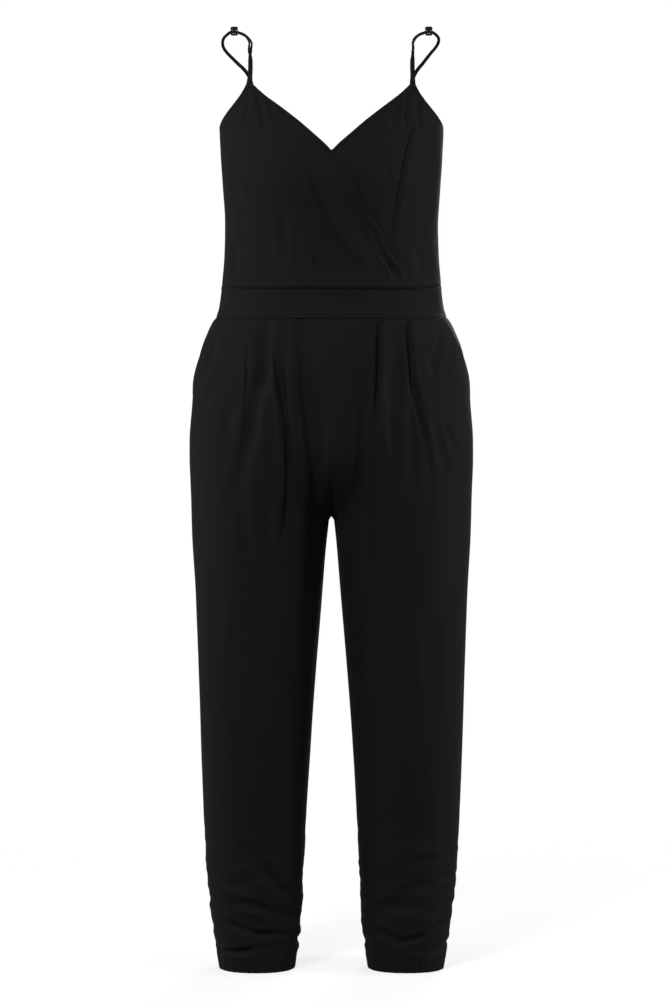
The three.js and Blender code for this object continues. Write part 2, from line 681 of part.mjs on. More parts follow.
function trouserFront(sideName, side) {
  const form = trouserForm(1);
  const folds = pleats[sideName];
  const beside = [-PLEAT_STEP - 0.3, PLEAT_STEP + 0.3];
  const downs = [null, ...FRONT_LEG_ROWS, HEM];
  const grid = downs.map((row) => {
    const down = row ?? WAIST_LOW.side + 5;
    const start = Math.max(mouthShare(down), endShare(form, 0, down));
    const end = endShare(form, 1, down);
    const outer = beside.map((d) => shareAt(form, folds.outer(down) - d, down));
    const inner = beside.map((d) => shareAt(form, folds.inner(down) - d, down));
    const soft = shareAt(form, folds.soft(down), down);
    const stops = [
      ...[0, 0.12, 0.28, 0.46, 0.64, 0.82].map((t) => lerp(start, outer[0], t)),
      ...outer,
      ...[0.33, 0.67].map((t) => lerp(outer[1], inner[0], t)),
      ...inner,
      lerp(inner[1], soft, 0.5),
      soft,
      ...[0.34, 0.67, 1].map((t) => lerp(soft, end, t)),
    ];
    return stops.map((share) => ({ share, down: seatDown(share, down, row === null) }));
  });
  return legCloth(`trouser_front_${sideName}`, side, 1, grid, legOffset(sideName, 1));
}

function trouserBack(sideName, side) {
  const form = trouserForm(-1);
  const downs = [null, ...BACK_LEG_ROWS, HEM];
  const grid = downs.map((row) => {
    const down = row ?? WAIST_LOW.side;
    const start = endShare(form, 0, down);
    const end = endShare(form, 1, down);
    return range(BACK_LEG_COLUMNS).map((t) => {
      const share = lerp(start, end, t);
      return { share, down: backSeatDown(share, down, row === null) };
    });
  });
  return legCloth(`trouser_back_${sideName}`, side, -1, grid, legOffset(sideName, -1));
}

// The side piece behind a slanted mouth: it fills the corner and runs on under the front.
function pocketSide(sideName, side) {
  const form = trouserForm(1);
  const downs = [null, 456, 472, 488, 504, 520, 536, 550, 562, POCKET.foot + 3];
  const grid = downs.map((row) => {
    const down = row ?? WAIST_LOW.side;
    const start = endShare(form, 0, down);
    const end = mouthShare(down) + POCKET.underlap;
    return range(6).map((t) => {
      const share = lerp(start, end, t);
      return { share, down: seatDown(share, down, row === null) };
    });
  });
  const offset = (share, down) => {
    const tucked = smooth(share, 0, mouthShare(down) * 0.9 + 0.01);
    const foot = smooth(down, POCKET.foot - 30, POCKET.foot - 12);
    return -POCKET_DROP * Math.max(tucked, foot);
  };
  return legCloth(`pocket_side_${sideName}`, side, 1, grid, offset);
}

// A flat band through stations {at, wide, width}: wide points across its width, so that the
// band may turn back on itself. Everything is mirrored by side at the end.
function band(name, stations, thick, side) {
  const outer = [];
  const inner = [];
  stations.forEach(({ at, wide, width }, i) => {
    const before = stations[Math.max(i - 1, 0)].at;
    const after = stations[Math.min(i + 1, stations.length - 1)].at;
    const along = after.clone().sub(before).normalize();
    const face = wide.clone().cross(along).normalize();
    const corner = (w, t) => {
      const point = at.clone().addScaledVector(wide, w * width).addScaledVector(face, t * thick);
      return point.setX(side * point.x);
    };
    outer.push([corner(-0.5, 0.5), corner(0.5, 0.5)]);
    inner.push([corner(-0.5, -0.5), corner(0.5, -0.5)]);
  });
  return shell(name, outer, inner, EDGING);
}

const vector = ({ x, y, z }) => new THREE.Vector3(x, y, z);
const DEPTH = new THREE.Vector3(0, 1, 0);

// The middle line of a front tab, from its sewn foot inside the front up to its fold.
function tabSpine(side) {
  const layer = frontOffset(side)(side * TAB.angle, TAB.foot, bodyForm(TAB.angle, TAB.foot));
  const under = layer - WALL - GAP - TAB.seat;
  const normal = bodyNormal(TAB.angle, TAB.foot);
  const foot = [TAB.foot, TAB.head].map((down) => bodyForm(TAB.angle, down).addScaledVector(normal, under));
  const route = TAB_ROUTE.map((p) => vector(p).addScaledVector(DEPTH, (LIFT - layer) * p.layer));
  return { normal, curve: new THREE.CatmullRomCurve3([...foot, ...route, vector(TAB_TOP)]) };
}

// The front tab: a strip folded over at the top, where its eye holds the strap.
function strapTab(name, side) {
  const { normal, curve } = tabSpine(side);
  const length = curve.getLength();
  const drops = range(14).slice(0, -1).map((t) => lerp(length, EYE[0].drop, t));
  const front = [...drops.map((drop) => ({ drop, apart: TAB.apart })), ...EYE];
  const back = front.map(({ drop, apart }) => ({ drop, apart: -apart })).reverse();
  const stations = [...front, { drop: 0, apart: 0 }, ...back].map(({ drop, apart }) => {
    const share = 1 - drop / length;
    const along = curve.getTangentAt(share);
    const facing = normal.clone().lerp(DEPTH.clone().negate(), smooth(share, 0.15, 0.8));
    const wide = along.clone().cross(facing).normalize();
    const out = wide.clone().cross(along).normalize();
    const width = lerp(TAB.neck, TAB.width, smooth(drop, 3, 24));
    return { at: curve.getPointAt(share).addScaledVector(out, apart), wide, width };
  });
  return band(name, stations, TAB.thick, side);
}

// The strap: sewn off behind the adjuster, down through the tab's eye, back up as a second
// strand, through the adjuster and over to the back edge.
function strap(name, side) {
  const rail = SLIDER.along / 2;
  const turnPoint = ({ aside, drop }) =>
    vector(TAB_TOP).add(new THREE.Vector3(aside, -EYE_LEAN * drop, -drop));
  const enter = new THREE.Vector3(SLIDER.x - rail - 1.2, 1.7, -0.8);
  const leave = new THREE.Vector3(SLIDER.x + rail + 1.2, 1.9, -0.6);
  const rise = turnPoint({ aside: STRAP.spread / 2, drop: -1.5 });
  const double = new THREE.CatmullRomCurve3([rise, ...DOUBLE_ROUTE.map(vector), enter]);
  const strand = (t, other) => {
    const along = double.getTangentAt(t);
    const flat = along.clone().cross(DEPTH).normalize();
    const deep = flat.clone().cross(along).normalize();
    const twist = (Math.PI / 2) * smooth(t, 0.05, 0.95);
    const apart = flat.clone().multiplyScalar(Math.cos(twist)).addScaledVector(deep, Math.sin(twist));
    const wide = flat.clone().multiplyScalar(Math.sin(twist)).addScaledVector(deep, -Math.cos(twist));
    const at = double.getPointAt(t);
    if (other) at.addScaledVector(apart, lerp(STRAP.spread, STRAP.pair, smooth(t, 0.1, 0.75)));
    const width = lerp(STRAP.pinch, STRAP.width, smooth(t, 0, 0.35));
    return { at, wide: other ? wide.negate() : wide, width };
  };
  const steps = range(15);
  const sewn = steps.slice(0, -1).reverse().map((t) => strand(t, true));
  const edgeOn = DEPTH.clone().negate();
  const turn = STRAP_TURN.map((point) => ({ at: turnPoint(point), wide: edgeOn, width: STRAP.pinch }));
  const risen = steps.map((t) => strand(t, false));
  const weave = WEAVE.map(({ along, back }) => ({
    at: new THREE.Vector3(SLIDER.x + along, back, 0),
    wide: new THREE.Vector3(0, 0, 1),
    width: STRAP.width,
  }));
  const { angle, head, foot, seat } = STRAP_END;
  const normal = bodyNormal(angle, foot);
  const under = -WALL - GAP - STRAP.thick / 2 - seat;
  const end = [head, foot].map((down) => bodyForm(angle, down).addScaledVector(normal, under));
  const route = SINGLE_ROUTE.map(({ x, y, z, nearer }) => vector({ x: side > 0 ? x - nearer : x, y, z }));
  const single = new THREE.CatmullRomCurve3([leave, ...route, ...end]);
  const surface = new THREE.Vector3(0, 0, 1).cross(normal).normalize();
  const over = range(44).map((t) => {
    const flat = single.getTangentAt(t).cross(DEPTH).normalize();
    if (flat.dot(surface) < 0) surface.negate();
    const wide = flat.lerp(surface, smooth(t, 0.6, 0.85)).normalize();
    return { at: single.getPointAt(t), wide, width: STRAP.width };
  });
  return band(name, [...sewn, ...turn, ...risen, ...weave, ...over], STRAP.thick, side);
}

function roundedOutline(path, x, y, width, height, radius) {
  path.moveTo(x + radius, y);
  path.absarc(x + width - radius, y + radius, radius, -Math.PI / 2, 0, false);
  path.absarc(x + width - radius, y + height - radius, radius, 0, Math.PI / 2, false);
  path.absarc(x + radius, y + height - radius, radius, Math.PI / 2, Math.PI, false);
  path.absarc(x + radius, y + radius, radius, Math.PI, 1.5 * Math.PI, false);
  return path;
}

// The adjuster: a flat plate with two slots and a bar between them.
function slider(name, side) {
  const { along, across, low, thick, rail, slot, open, corner } = SLIDER;
  const plate = roundedOutline(new THREE.Shape(), -along / 2, -low, along, across, corner);
  for (const x of [rail - along / 2, along / 2 - rail - slot]) {
    plate.holes.push(roundedOutline(new THREE.Path(), x, -open / 2, slot, open, 0.6));
  }
  const extrusion = { depth: thick, bevelEnabled: false, curveSegments: 4 };
  const geometry = new THREE.ExtrudeGeometry(plate, extrusion);
  const mesh = solid(name, geometry, PLASTIC);
  mesh.rotation.x = Math.PI / 2;
  mesh.position.set(side * SLIDER.x, thick / 2, 0);
  return mesh;
}

const group = new THREE.Group();
const SIDES = { right: -1, left: 1 };
for (const [sideName, side] of Object.entries(SIDES)) {
  group.add(bodiceFront(`bodice_front_${sideName}`, side));
  group.add(neckBinding(`neck_binding_${sideName}`, side));
  group.add(armholeBinding(`armhole_binding_${sideName}`, side));
  group.add(trouserFront(sideName, side));
  group.add(trouserBack(sideName, side));
  group.add(pocketSide(sideName, side));
  group.add(strapTab(`strap_tab_${sideName}`, side));
  group.add(strap(`strap_${sideName}`, side));
  group.add(slider(`strap_adjuster_${sideName}`, side));
}
group.add(bodiceBack());
group.add(backBinding());
group.add(waistband('waistband_front', -90, 90));
group.add(waistband('waistband_back', 90, 270));

export default group;
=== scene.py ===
"""A wrap-front camisole jumpsuit in black jersey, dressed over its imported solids.

Sizes are millimetres and degrees until a mesh is made. The frame is that of the solids: +Z up,
-Y front, +X towards the wearer's left, origin midway between the strap tops. Heights are given
as `down`, measured from the strap tops. Cloth is a grid of points on a form, moved out along the
form's normal by the folds, with a thin wall behind it.
"""

import logging
import math
from dataclasses import dataclass, field
from enum import Enum
from typing import Callable, NamedTuple, Sequence, Union

import bmesh
import bpy
import numpy as np
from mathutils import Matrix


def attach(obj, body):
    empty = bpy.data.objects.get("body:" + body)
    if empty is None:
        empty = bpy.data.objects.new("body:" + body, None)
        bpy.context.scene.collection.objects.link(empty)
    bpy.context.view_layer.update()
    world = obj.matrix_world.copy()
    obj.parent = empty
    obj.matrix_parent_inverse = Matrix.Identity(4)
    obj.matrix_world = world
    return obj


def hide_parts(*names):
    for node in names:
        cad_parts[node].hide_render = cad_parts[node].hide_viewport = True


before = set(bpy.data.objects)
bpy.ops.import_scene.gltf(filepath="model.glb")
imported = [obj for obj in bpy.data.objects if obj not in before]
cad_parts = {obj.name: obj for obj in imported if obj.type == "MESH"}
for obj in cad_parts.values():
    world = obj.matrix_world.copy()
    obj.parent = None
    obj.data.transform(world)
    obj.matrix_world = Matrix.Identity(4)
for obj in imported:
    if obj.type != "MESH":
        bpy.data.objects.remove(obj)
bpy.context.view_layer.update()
LOG = logging.getLogger("jumpsuit")

Array = np.ndarray
Number = Union[float, Array]
MM = 0.001

CLOTH = 0.9  # thickness of the jersey
GAP = 0.1  # left between two pieces at a seam
TUCK = 1.2  # how far an edge runs on under the piece that it is sewn to
TUCK_DEPTH = 2.3
TUCK_LEAD = 0.2  # the tucked edge starts to rise this far before the seam
TUCK_EASE = 2.8  # and has come up this far past it
WAIST_TUCK = 3.2  # the same for the trousers under the waistband
ROLL = 0.95  # how far a seam draws the upper piece's edge in
ROLL_REACH = 1.9
HEM = 1448.5
HEM_TURN = 25.0
HEM_LINES = (HEM - HEM_TURN + 1.5, HEM - HEM_TURN + 4.7)  # heights of the hem's two rows of stitches
WAIST_SINK = 0.66  # share of the tuck's depth that the trousers have at the waistband
CROTCH = 752.0


class Side(Enum):
    """A side of the wearer."""

    RIGHT = -1
    LEFT = 1

    @property
    def word(self) -> str:
        """The side's name as node names give it."""
        return self.name.lower()


class Face(Enum):
    """The front or the back of a leg."""

    FRONT = 1
    BACK = -1


def mix(a: Number, b: Number, t: Number) -> Number:
    """Straight blend from a to b as t goes from 0 to 1."""
    return a + (b - a) * t


def smooth(x: Number, low: float, high: float) -> Number:
    """Soft step from 0 below low to 1 above high: 3t^2 - 2t^3."""
    t = np.clip((np.asarray(x, float) - low) / (high - low), 0.0, 1.0)
    return t * t * (3.0 - 2.0 * t)


def bell(x: Number) -> Number:
    """Bell curve exp(-x^2), 1 at the middle."""
    return np.exp(-np.square(x))


def unit(v: Array) -> Array:
    """Vectors along the last axis brought to length 1."""
    return v / np.maximum(np.linalg.norm(v, axis=-1, keepdims=True), 1e-9)


def tucked(distance: Array, run: float = TUCK) -> Array:
    """How deep a lower edge lies at a distance from its border: level, then up past the seam."""
    return TUCK_DEPTH * (1.0 - smooth(distance, run - TUCK_LEAD, run + TUCK_EASE))


def rolled(distance: Array) -> Array:
    """How deep an upper edge is drawn in at a distance from its border."""
    return ROLL * bell(distance / ROLL_REACH)


def crowded(count: int, strength: float = 0.8) -> Array:
    """Shares from 0 to 1 that stand closer together near both ends."""
    even = np.linspace(0.0, 1.0, count)
    return mix(even, 0.5 - 0.5 * np.cos(np.pi * even), strength)


@dataclass(frozen=True)
class Curve:
    """A smooth curve through points, without overshoot between them.

    Each span is a cubic whose end slopes are the harmonic means of the slopes beside them.
    """

    x: Array
    y: Array
    slope: Array

    @classmethod
    def through(cls, x: Sequence[float], y: Sequence[float]) -> "Curve":
        """The curve through the points.

        Args:
            x: Places, rising.
            y: Values at those places.

        Returns:
            The curve.
        """
        xs, ys = np.asarray(x, float), np.asarray(y, float)
        steps = np.diff(ys) / np.diff(xs)
        before, after = np.r_[steps[0], steps], np.r_[steps, steps[-1]]
        product = before * after
        total = np.where(product > 0, before + after, 1.0)
        return cls(xs, ys, np.where(product > 0, 2.0 * product / total, 0.0))

    def __call__(self, at: Number) -> Array:
        """Values at the given places, held at the end values outside the table."""
        at = np.asarray(at, float)
        i = np.minimum(np.searchsorted(self.x[1:], at, side="left"), len(self.x) - 2)
        span = self.x[i + 1] - self.x[i]
        t = np.clip((at - self.x[i]) / span, 0.0, 1.0)
        rise = self.y[i + 1] - self.y[i]
        a = self.slope[i] * span - rise
        b = rise - self.slope[i + 1] * span
        return self.y[i] + rise * t + t * (1.0 - t) * (a * (1.0 - t) + b * t)


def curves(rows: Sequence[tuple]) -> dict[str, Curve]:
    """A curve for each column of a table, over the table's first column."""
    key, *names = rows[0]._fields
    at = [getattr(row, key) for row in rows]
    return {name: Curve.through(at, [getattr(row, name) for row in rows]) for name in names}


def between_rows(rows: Sequence[Sequence[float]], at: Array) -> list[Array]:
    """Each column of a table at in-between row numbers, along smooth curves."""
    return [Curve.through(np.arange(len(rows)), column)(at) for column in zip(*rows)]


def rows_of(kind: Callable[..., tuple], *rows: Sequence[float]) -> tuple:
    """The rows of a table, each made into its own kind."""
    return tuple(kind(*row) for row in rows)


class BodyRow(NamedTuple):
    """One section of the body: half width and depth to the front and back."""

    down: float
    half: float
    front: float
    back: float


class LegRow(NamedTuple):
    """One section of a leg: outer and inner edge from the centre plane, depth to front and back."""

    down: float
    outer: float
    inner: float
    front: float
    back: float


class Crease(NamedTuple):
    """A soft trough along a bowed line; a negative depth makes it a ridge."""

    x0: float
    down0: float
    x1: float
    down1: float
    bow: float
    depth: float
    reach: float


def trough(creases: Sequence[Crease], x: Array, down: Array) -> Array:
    """Depth of all creases at points of the cloth.

    Along a crease the depth fades at both ends; across it the profile is a bell with a low
    shoulder on each side, as a fold has.

    Args:
        creases: The creases.
        x: Sideways places.
        down: Heights.

    Returns:
        The summed depth, positive inwards.
    """
    total = np.zeros(np.broadcast(x, down).shape)
    for c in creases:
        dx, dd = c.x1 - c.x0, c.down1 - c.down0
        length = math.hypot(dx, dd)
        t = ((x - c.x0) * dx + (down - c.down0) * dd) / length**2
        aside = ((x - c.x0) * dd - (down - c.down0) * dx) / length
        across = (aside - c.bow * 4.0 * t * (1.0 - t)) / c.reach
        fade = smooth(t, -0.08, 0.3) * (1.0 - smooth(t, 0.7, 1.08))
        total += c.depth * fade * (bell(across) - 0.3 * bell(1.3 * (np.abs(across) - 1.7)))
    return total


@dataclass(frozen=True)
class Slack:
    """Uneven slack round a tube of cloth: random heights on a grid, blended smoothly.

    Attributes:
        around: Grid cells in one whole turn.
        tall: Height of a cell.
        depth: Largest rise or fall.
        seed: Start of the random draw.
    """

    around: int
    tall: float
    depth: float
    seed: int

    def __call__(self, turn: Array, down: Array) -> Array:
        """Rise of the cloth at a turn in degrees and a height."""
        rows = 96
        heights = np.random.default_rng(self.seed).uniform(-1.0, 1.0, (self.around, rows))
        a = np.mod(turn, 360.0) / 360.0 * self.around
        d = np.mod(down / self.tall, rows)
        i, j = np.floor(a).astype(int), np.floor(d).astype(int)
        u, v = smooth(a - i, 0.0, 1.0), smooth(d - j, 0.0, 1.0)
        i, j = i % self.around, j % rows
        i1, j1 = (i + 1) % self.around, (j + 1) % rows
        low = mix(heights[i, j], heights[i1, j], u)
        return self.depth * mix(low, mix(heights[i, j1], heights[i1, j1], u), v)


def slackened(parts: Sequence[Slack], turn: Array, down: Array) -> Array:
    """Rise of several kinds of slack together."""
    return sum(part(turn, down) for part in parts)


def squared_radius(sine: Array, cosine: Array, half: Array, depth: Array, square: float) -> Array:
    """Distance from the axis of a squared ellipse in the direction of a sine and cosine."""
    flat = np.abs(sine / half) ** square + np.abs(cosine / depth) ** square
    return flat ** (-1.0 / square)


def form_normal(form: Callable[[Array, Array], Array], p: Array, q: Array, step: float,
                axis: Number) -> Array:
    """Unit normals of a form by central differences, pointing away from an upright axis.

    Args:
        form: Gives points for two parameters.
        p: First parameter.
        q: Second parameter, a height.
        step: Difference used for p.
        axis: Sideways place of the axis.

    Returns:
        The normals.
    """
    along_p = form(p + step, q) - form(p - step, q)
    along_q = form(p, q + 0.5) - form(p, q - 0.5)
    normal = unit(np.cross(along_p, along_q))
    point = form(p, q)
    outward = normal[..., 0] * (point[..., 0] - axis) + normal[..., 1] * point[..., 1]
    return normal * np.where(outward < 0.0, -1.0, 1.0)[..., None]


@dataclass(frozen=True)
class Seam:
    """A level seam round the body that dips in front and rises behind."""

    side: float
    front_dip: float
    back_rise: float

    def down(self, angle: Array) -> Array:
        """Height at an angle: the change fades as the square of 1 - |cos| towards the sides."""
        cosine = np.cos(np.radians(angle))
        fade = 1.0 - (1.0 - np.abs(cosine)) ** 2
        return self.side + np.where(cosine > 0.0, self.front_dip, -self.back_rise) * fade


@dataclass(frozen=True)
class Body:
    """The form of the body from the apexes of the bodice down to the seat."""

    square: float = 2.4
    cup_angle: float = 36.0
    cup_down: float = 234.0
    cup_rise: float = 5.0
    cup_spread: float = 24.0
    cup_height: float = 52.0
    waist_top: Seam = Seam(390.6, 20.0, 8.0)
    waist_low: Seam = Seam(440.2, 13.5, 6.0)
    rows: tuple[BodyRow, ...] = rows_of(
        BodyRow, (50, 166, 68, 76), (87, 170, 80, 84), (109, 172, 90, 90), (125, 173, 96, 94),
        (152, 173, 108, 98), (188, 171.5, 121, 100), (240, 168, 126, 100), (300, 164.6, 120, 98),
        (350, 166, 117, 100), (394, 169.6, 118, 105), (416, 171.7, 119.5, 107),
        (440, 176.8, 121.5, 110), (450, 184, 123.5, 112.5), (462, 190, 125.5, 115),
        (493, 202, 130, 123), (539, 212, 134, 134), (580, 215, 135, 139), (632, 219, 134, 139),
        (663, 219.4, 132, 136), (725, 217, 125, 128), (760, 216, 116, 120),
    )
    size: dict[str, Curve] = field(init=False)

    def __post_init__(self) -> None:
        """Turns the table into curves."""
        object.__setattr__(self, "size", curves(self.rows))

    def point(self, angle: Array, down: Array) -> Array:
        """Points of the form: a squared ellipse with the fullness of the cups added.

        Args:
            angle: 0 at the centre front, 90 at the wearer's left side, 180 behind.
            down: Heights.

        Returns:
            Points, one more axis than the parameters.
        """
        turn = np.radians(angle)
        sine, cosine = np.sin(turn), np.cos(turn)
        depth = np.where(cosine > 0.0, self.size["front"](down), self.size["back"](down))
        folded = np.abs(np.mod(angle + 180.0, 360.0) - 180.0)
        across = (folded - self.cup_angle) / self.cup_spread
        along = (down - self.cup_down) / self.cup_height
        radius = squared_radius(sine, cosine, self.size["half"](down), depth, self.square)
        radius = radius + self.cup_rise * np.exp(-across * across - along * along)
        return np.stack(np.broadcast_arrays(radius * sine, -radius * cosine, -down), axis=-1)

    def normal(self, angle: Array, down: Array) -> Array:
        """Unit normals of the form."""
        return form_normal(self.point, angle, down, 0.2, 0.0)

    def seam_angle(self, down: Array, inside: float = GAP / 2.0) -> Array:
        """A distance inside the side seam as an angle, half of its gap unless given."""
        return np.degrees(inside / self.size["half"](down))


BODY = Body()


@dataclass(frozen=True)
class Leg:
    """The form of a leg on the wearer's left, which grows out of the seat."""

    square: float = 2.15
    rise_start: float = 640.0
    thigh_from: float = 590.0
    thigh_to: float = 850.0
    rows: tuple[LegRow, ...] = rows_of(
        LegRow, (600, 218, 2, 118, 124), (752, 216, 3.4, 111, 119), (758, 215.8, 4.0, 110.4, 118.4),
        (787, 214.7, 7.1, 107, 114), (880, 209.6, 15, 98, 103), (1004, 205.3, 25.3, 87, 91),
        (1128, 201.3, 33.9, 76, 84), (1252, 196, 41.1, 65, 79), (1345, 188.6, 45, 59, 71),
        (1400, 181.8, 49.6, 54, 63), (1438, 174.8, 55.9, 50, 56), (1449, 173, 57.4, 49, 54.5),
    )
    size: dict[str, Curve] = field(init=False)

    def __post_init__(self) -> None:
        """Turns the table into curves."""
        object.__setattr__(self, "size", curves(self.rows))

    def axis(self, down: Array) -> Array:
        """Middle of the leg from the centre plane."""
        return (self.size["outer"](down) + self.size["inner"](down)) / 2.0

    def point(self, face: Face, share: Array, down: Array) -> Array:
        """Points of one quarter of the seat and its leg.

        The seat's squared ellipse is blended into the leg's, first at the centre seam, which
        curves under at the crotch, and slowly on the outer thigh. Down to the crotch the edge
        itself is drawn onto the centre plane.

        Args:
            face: Front or back.
            share: 0 at the side seam, 1 at the centre seam or inseam.
            down: Heights.

        Returns:
            Points, one more axis than the parameters.
        """
        turn = np.radians(90.0 * (1.0 - share))
        depth = BODY.size["front" if face is Face.FRONT else "back"](down)
        seat = squared_radius(np.sin(turn), np.cos(turn), BODY.size["half"](down), depth, BODY.square)
        reach = np.clip((down - self.rise_start) / (CROTCH - self.rise_start), 0.0, 1.0)
        centre = 1.0 - (1.0 - reach * reach) ** mix(1.6, 0.62, smooth(share, 0.55, 0.95))
        rest = smooth(down, self.thigh_from, self.thigh_to)
        parting = mix(rest, centre, smooth(share, 0.45, 0.97))
        half = (self.size["outer"](down) - self.size["inner"](down)) / 2.0
        leg_turn = np.pi * share
        leg_depth = self.size["front" if face is Face.FRONT else "back"](down)
        radius = squared_radius(np.cos(leg_turn), np.sin(leg_turn), half, leg_depth, self.square)
        meeting = smooth(share, 0.88, 1.0) * (1.0 - smooth(down, CROTCH, CROTCH + 2.0))
        across = self.axis(down) + radius * np.cos(leg_turn) - self.size["inner"](down) * meeting
        x = mix(seat * np.sin(turn), across, parting)
        y = mix(seat * np.cos(turn), radius * np.sin(leg_turn), parting) * -face.value
        return np.stack(np.broadcast_arrays(x, y, -down), axis=-1)

    def normal(self, face: Face, share: Array, down: Array) -> Array:
        """Unit normals of the quarter."""
        form = lambda p, q: self.point(face, p, q)
        return form_normal(form, share, down, 0.002, self.axis(down))

    def share_at(self, face: Face, x: Array, down: Array) -> Array:
        """The share at which the quarter is x away from the centre plane, by halving."""
        low, high = np.zeros(np.broadcast(x, down).shape), np.ones(np.broadcast(x, down).shape)
        for _ in range(22):
            middle = (low + high) / 2.0
            outside = self.point(face, middle, down)[..., 0] > x
            low, high = np.where(outside, middle, low), np.where(outside, high, middle)
        return (low + high) / 2.0

    def end_share(self, face: Face, share: float, down: Array, inside: Number = GAP / 2.0) -> Array:
        """The share a distance inside one end of each row, half of the seam's gap unless given."""
        step = 0.004 if share < 0.5 else -0.004
        edge = np.full(np.shape(down), share)
        away = self.point(face, edge + step, down) - self.point(face, edge, down)
        length = np.linalg.norm(away, axis=-1) / abs(step)
        return share + math.copysign(1.0, step) * (inside / length)


LEG = Leg()


def run_lengths(points: Array, axis: int) -> Array:
    """Length run from the first point of each line of a grid, along one of its axes."""
    steps = np.linalg.norm(np.diff(points, axis=axis), axis=-1)
    start = np.zeros_like(np.take(steps, [0], axis=axis))
    return np.concatenate([start, np.cumsum(steps, axis=axis)], axis=axis)


def looked_up(at: Array, places: Array, values: Array) -> Array:
    """Points at in-between places of a line, straight between the given (n, 3) ones."""
    return np.stack([np.interp(at, places, values[:, k]) for k in range(3)], axis=-1)


class Borders(NamedTuple):
    """Distance of each grid point from the four borders of its panel."""

    first: Array
    last: Array
    top: Array
    foot: Array


def borders(points: Array) -> Borders:
    """Distances from the borders, measured along the grid's own lines."""
    across, along = run_lengths(points, 1), run_lengths(points, 0)
    return Borders(across, across[:, -1:] - across, along, along[-1:] - along)


def put_in_scene(name: str, mesh: bpy.types.Mesh, sharp: float) -> bpy.types.Object:
    """An object of the mesh, shaded smooth except at edges over an angle in degrees."""
    mesh.polygons.foreach_set("use_smooth", np.ones(len(mesh.polygons), dtype=bool))
    mesh.set_sharp_from_angle(angle=math.radians(sharp))
    obj = bpy.data.objects.new(name, mesh)
    bpy.context.scene.collection.objects.link(obj)
    return obj


def make_mesh(name: str, points: Array, quads: Array, uv: Array | None = None) -> bpy.types.Object:
    """A mesh object from points in millimetres and quads; the object stays at the origin.

    The faces are turned round as a whole where the signed volume says they point inwards.

    Args:
        name: Name of the piece.
        points: (n, 3) points.
        quads: (m, 4) corner numbers.
        uv: (n, 2) cloth coordinates in metres, one for each point.

    Returns:
        The object, linked to the scene.
    """
    a, b, c, d = (points[quads[:, k]] for k in range(4))
    volume = np.sum(a * (np.cross(b, c) + np.cross(c, d)))
    if volume < 0.0:
        quads = quads[:, ::-1]
    mesh = bpy.data.meshes.new(name)
    mesh.vertices.add(len(points))
    mesh.vertices.foreach_set("co", (points * MM).astype(np.float32).ravel())
    mesh.loops.add(quads.size)
    mesh.loops.foreach_set("vertex_index", quads.astype(np.int32).ravel())
    mesh.polygons.add(len(quads))
    mesh.polygons.foreach_set("loop_start", np.arange(0, quads.size, 4, dtype=np.int32))
    if uv is not None:
        layer = mesh.uv_layers.new(name="cloth")
        layer.data.foreach_set("uv", uv[quads.ravel()].astype(np.float32).ravel())
    mesh.update(calc_edges=True)
    mesh.validate()
    return put_in_scene(name, mesh, 65.0)


def grid_quads(rows: int, columns: int, closed: bool = False) -> Array:
    """Quads of a grid of points, joined round its columns where closed."""
    i = np.arange(rows - 1)[:, None]
    j = np.arange(columns if closed else columns - 1)[None, :]
    k = (j + 1) % columns
    corners = (i * columns + j, i * columns + k, (i + 1) * columns + k, (i + 1) * columns + j)
    return np.stack([np.broadcast_to(c, (rows - 1, j.size)) for c in corners], -1).reshape(-1, 4)


def shell(name: str, outer: Array, inner: Array) -> bpy.types.Object:
    """A closed wall of cloth between two grids, with cloth coordinates from their lengths.

    Args:
        name: Name of the piece.
        outer: (rows, columns, 3) points of the outside.
        inner: The same for the inside.

    Returns:
        The piece.
    """
    rows, columns = outer.shape[:2]
    count = rows * columns
    front = grid_quads(rows, columns)
    back = front[:, ::-1] + count
    index = np.arange(count).reshape(rows, columns)
    rim = np.concatenate([index[0, :-1], index[:-1, -1], index[-1, :0:-1], index[:0:-1, 0]])
    following = np.roll(rim, -1)
    edge = np.stack([following, rim, rim + count, following + count], axis=-1)
    points = np.concatenate([outer.reshape(-1, 3), inner.reshape(-1, 3)])
    across = run_lengths(outer, 1)
    across = across - across[:, -1:] / 2.0
    uv = np.stack([across, run_lengths(outer, 0)], axis=-1).reshape(-1, 2) * MM
    return make_mesh(name, points, np.concatenate([front, back, edge]), np.concatenate([uv, uv]))


def surface_normals(points: Array, outward: Array) -> Array:
    """Unit normals of a grid by differences, turned as a whole to the side of outward."""
    across = np.gradient(points, axis=1)
    along = np.gradient(points, axis=0)
    normal = unit(np.cross(across, along))
    return normal * (1.0 if np.sum(normal * outward) > 0.0 else -1.0)


def cloth(name: str, outer: Array, outward: Array, wall: Number = CLOTH) -> bpy.types.Object:
    """A shell whose inside lies one wall behind the outside along the cloth's own normals."""
    normal = surface_normals(outer, outward)
    thick = np.broadcast_to(wall, outer.shape[:2])[..., None]
    return shell(name, outer, outer - normal * thick)


class Ring(NamedTuple):
    """One station of a swept strip: its middle, its width's direction and two sizes."""

    at: Array
    wide: Array
    width: Array
    thick: Array


def even_ring(at: Array, wide: Array, width: float, thick: float) -> Ring:
    """Stations of the same sizes and the same direction of the width."""
    count = len(at)
    return Ring(at, np.tile(wide, (count, 1)), np.full(count, width), np.full(count, thick))


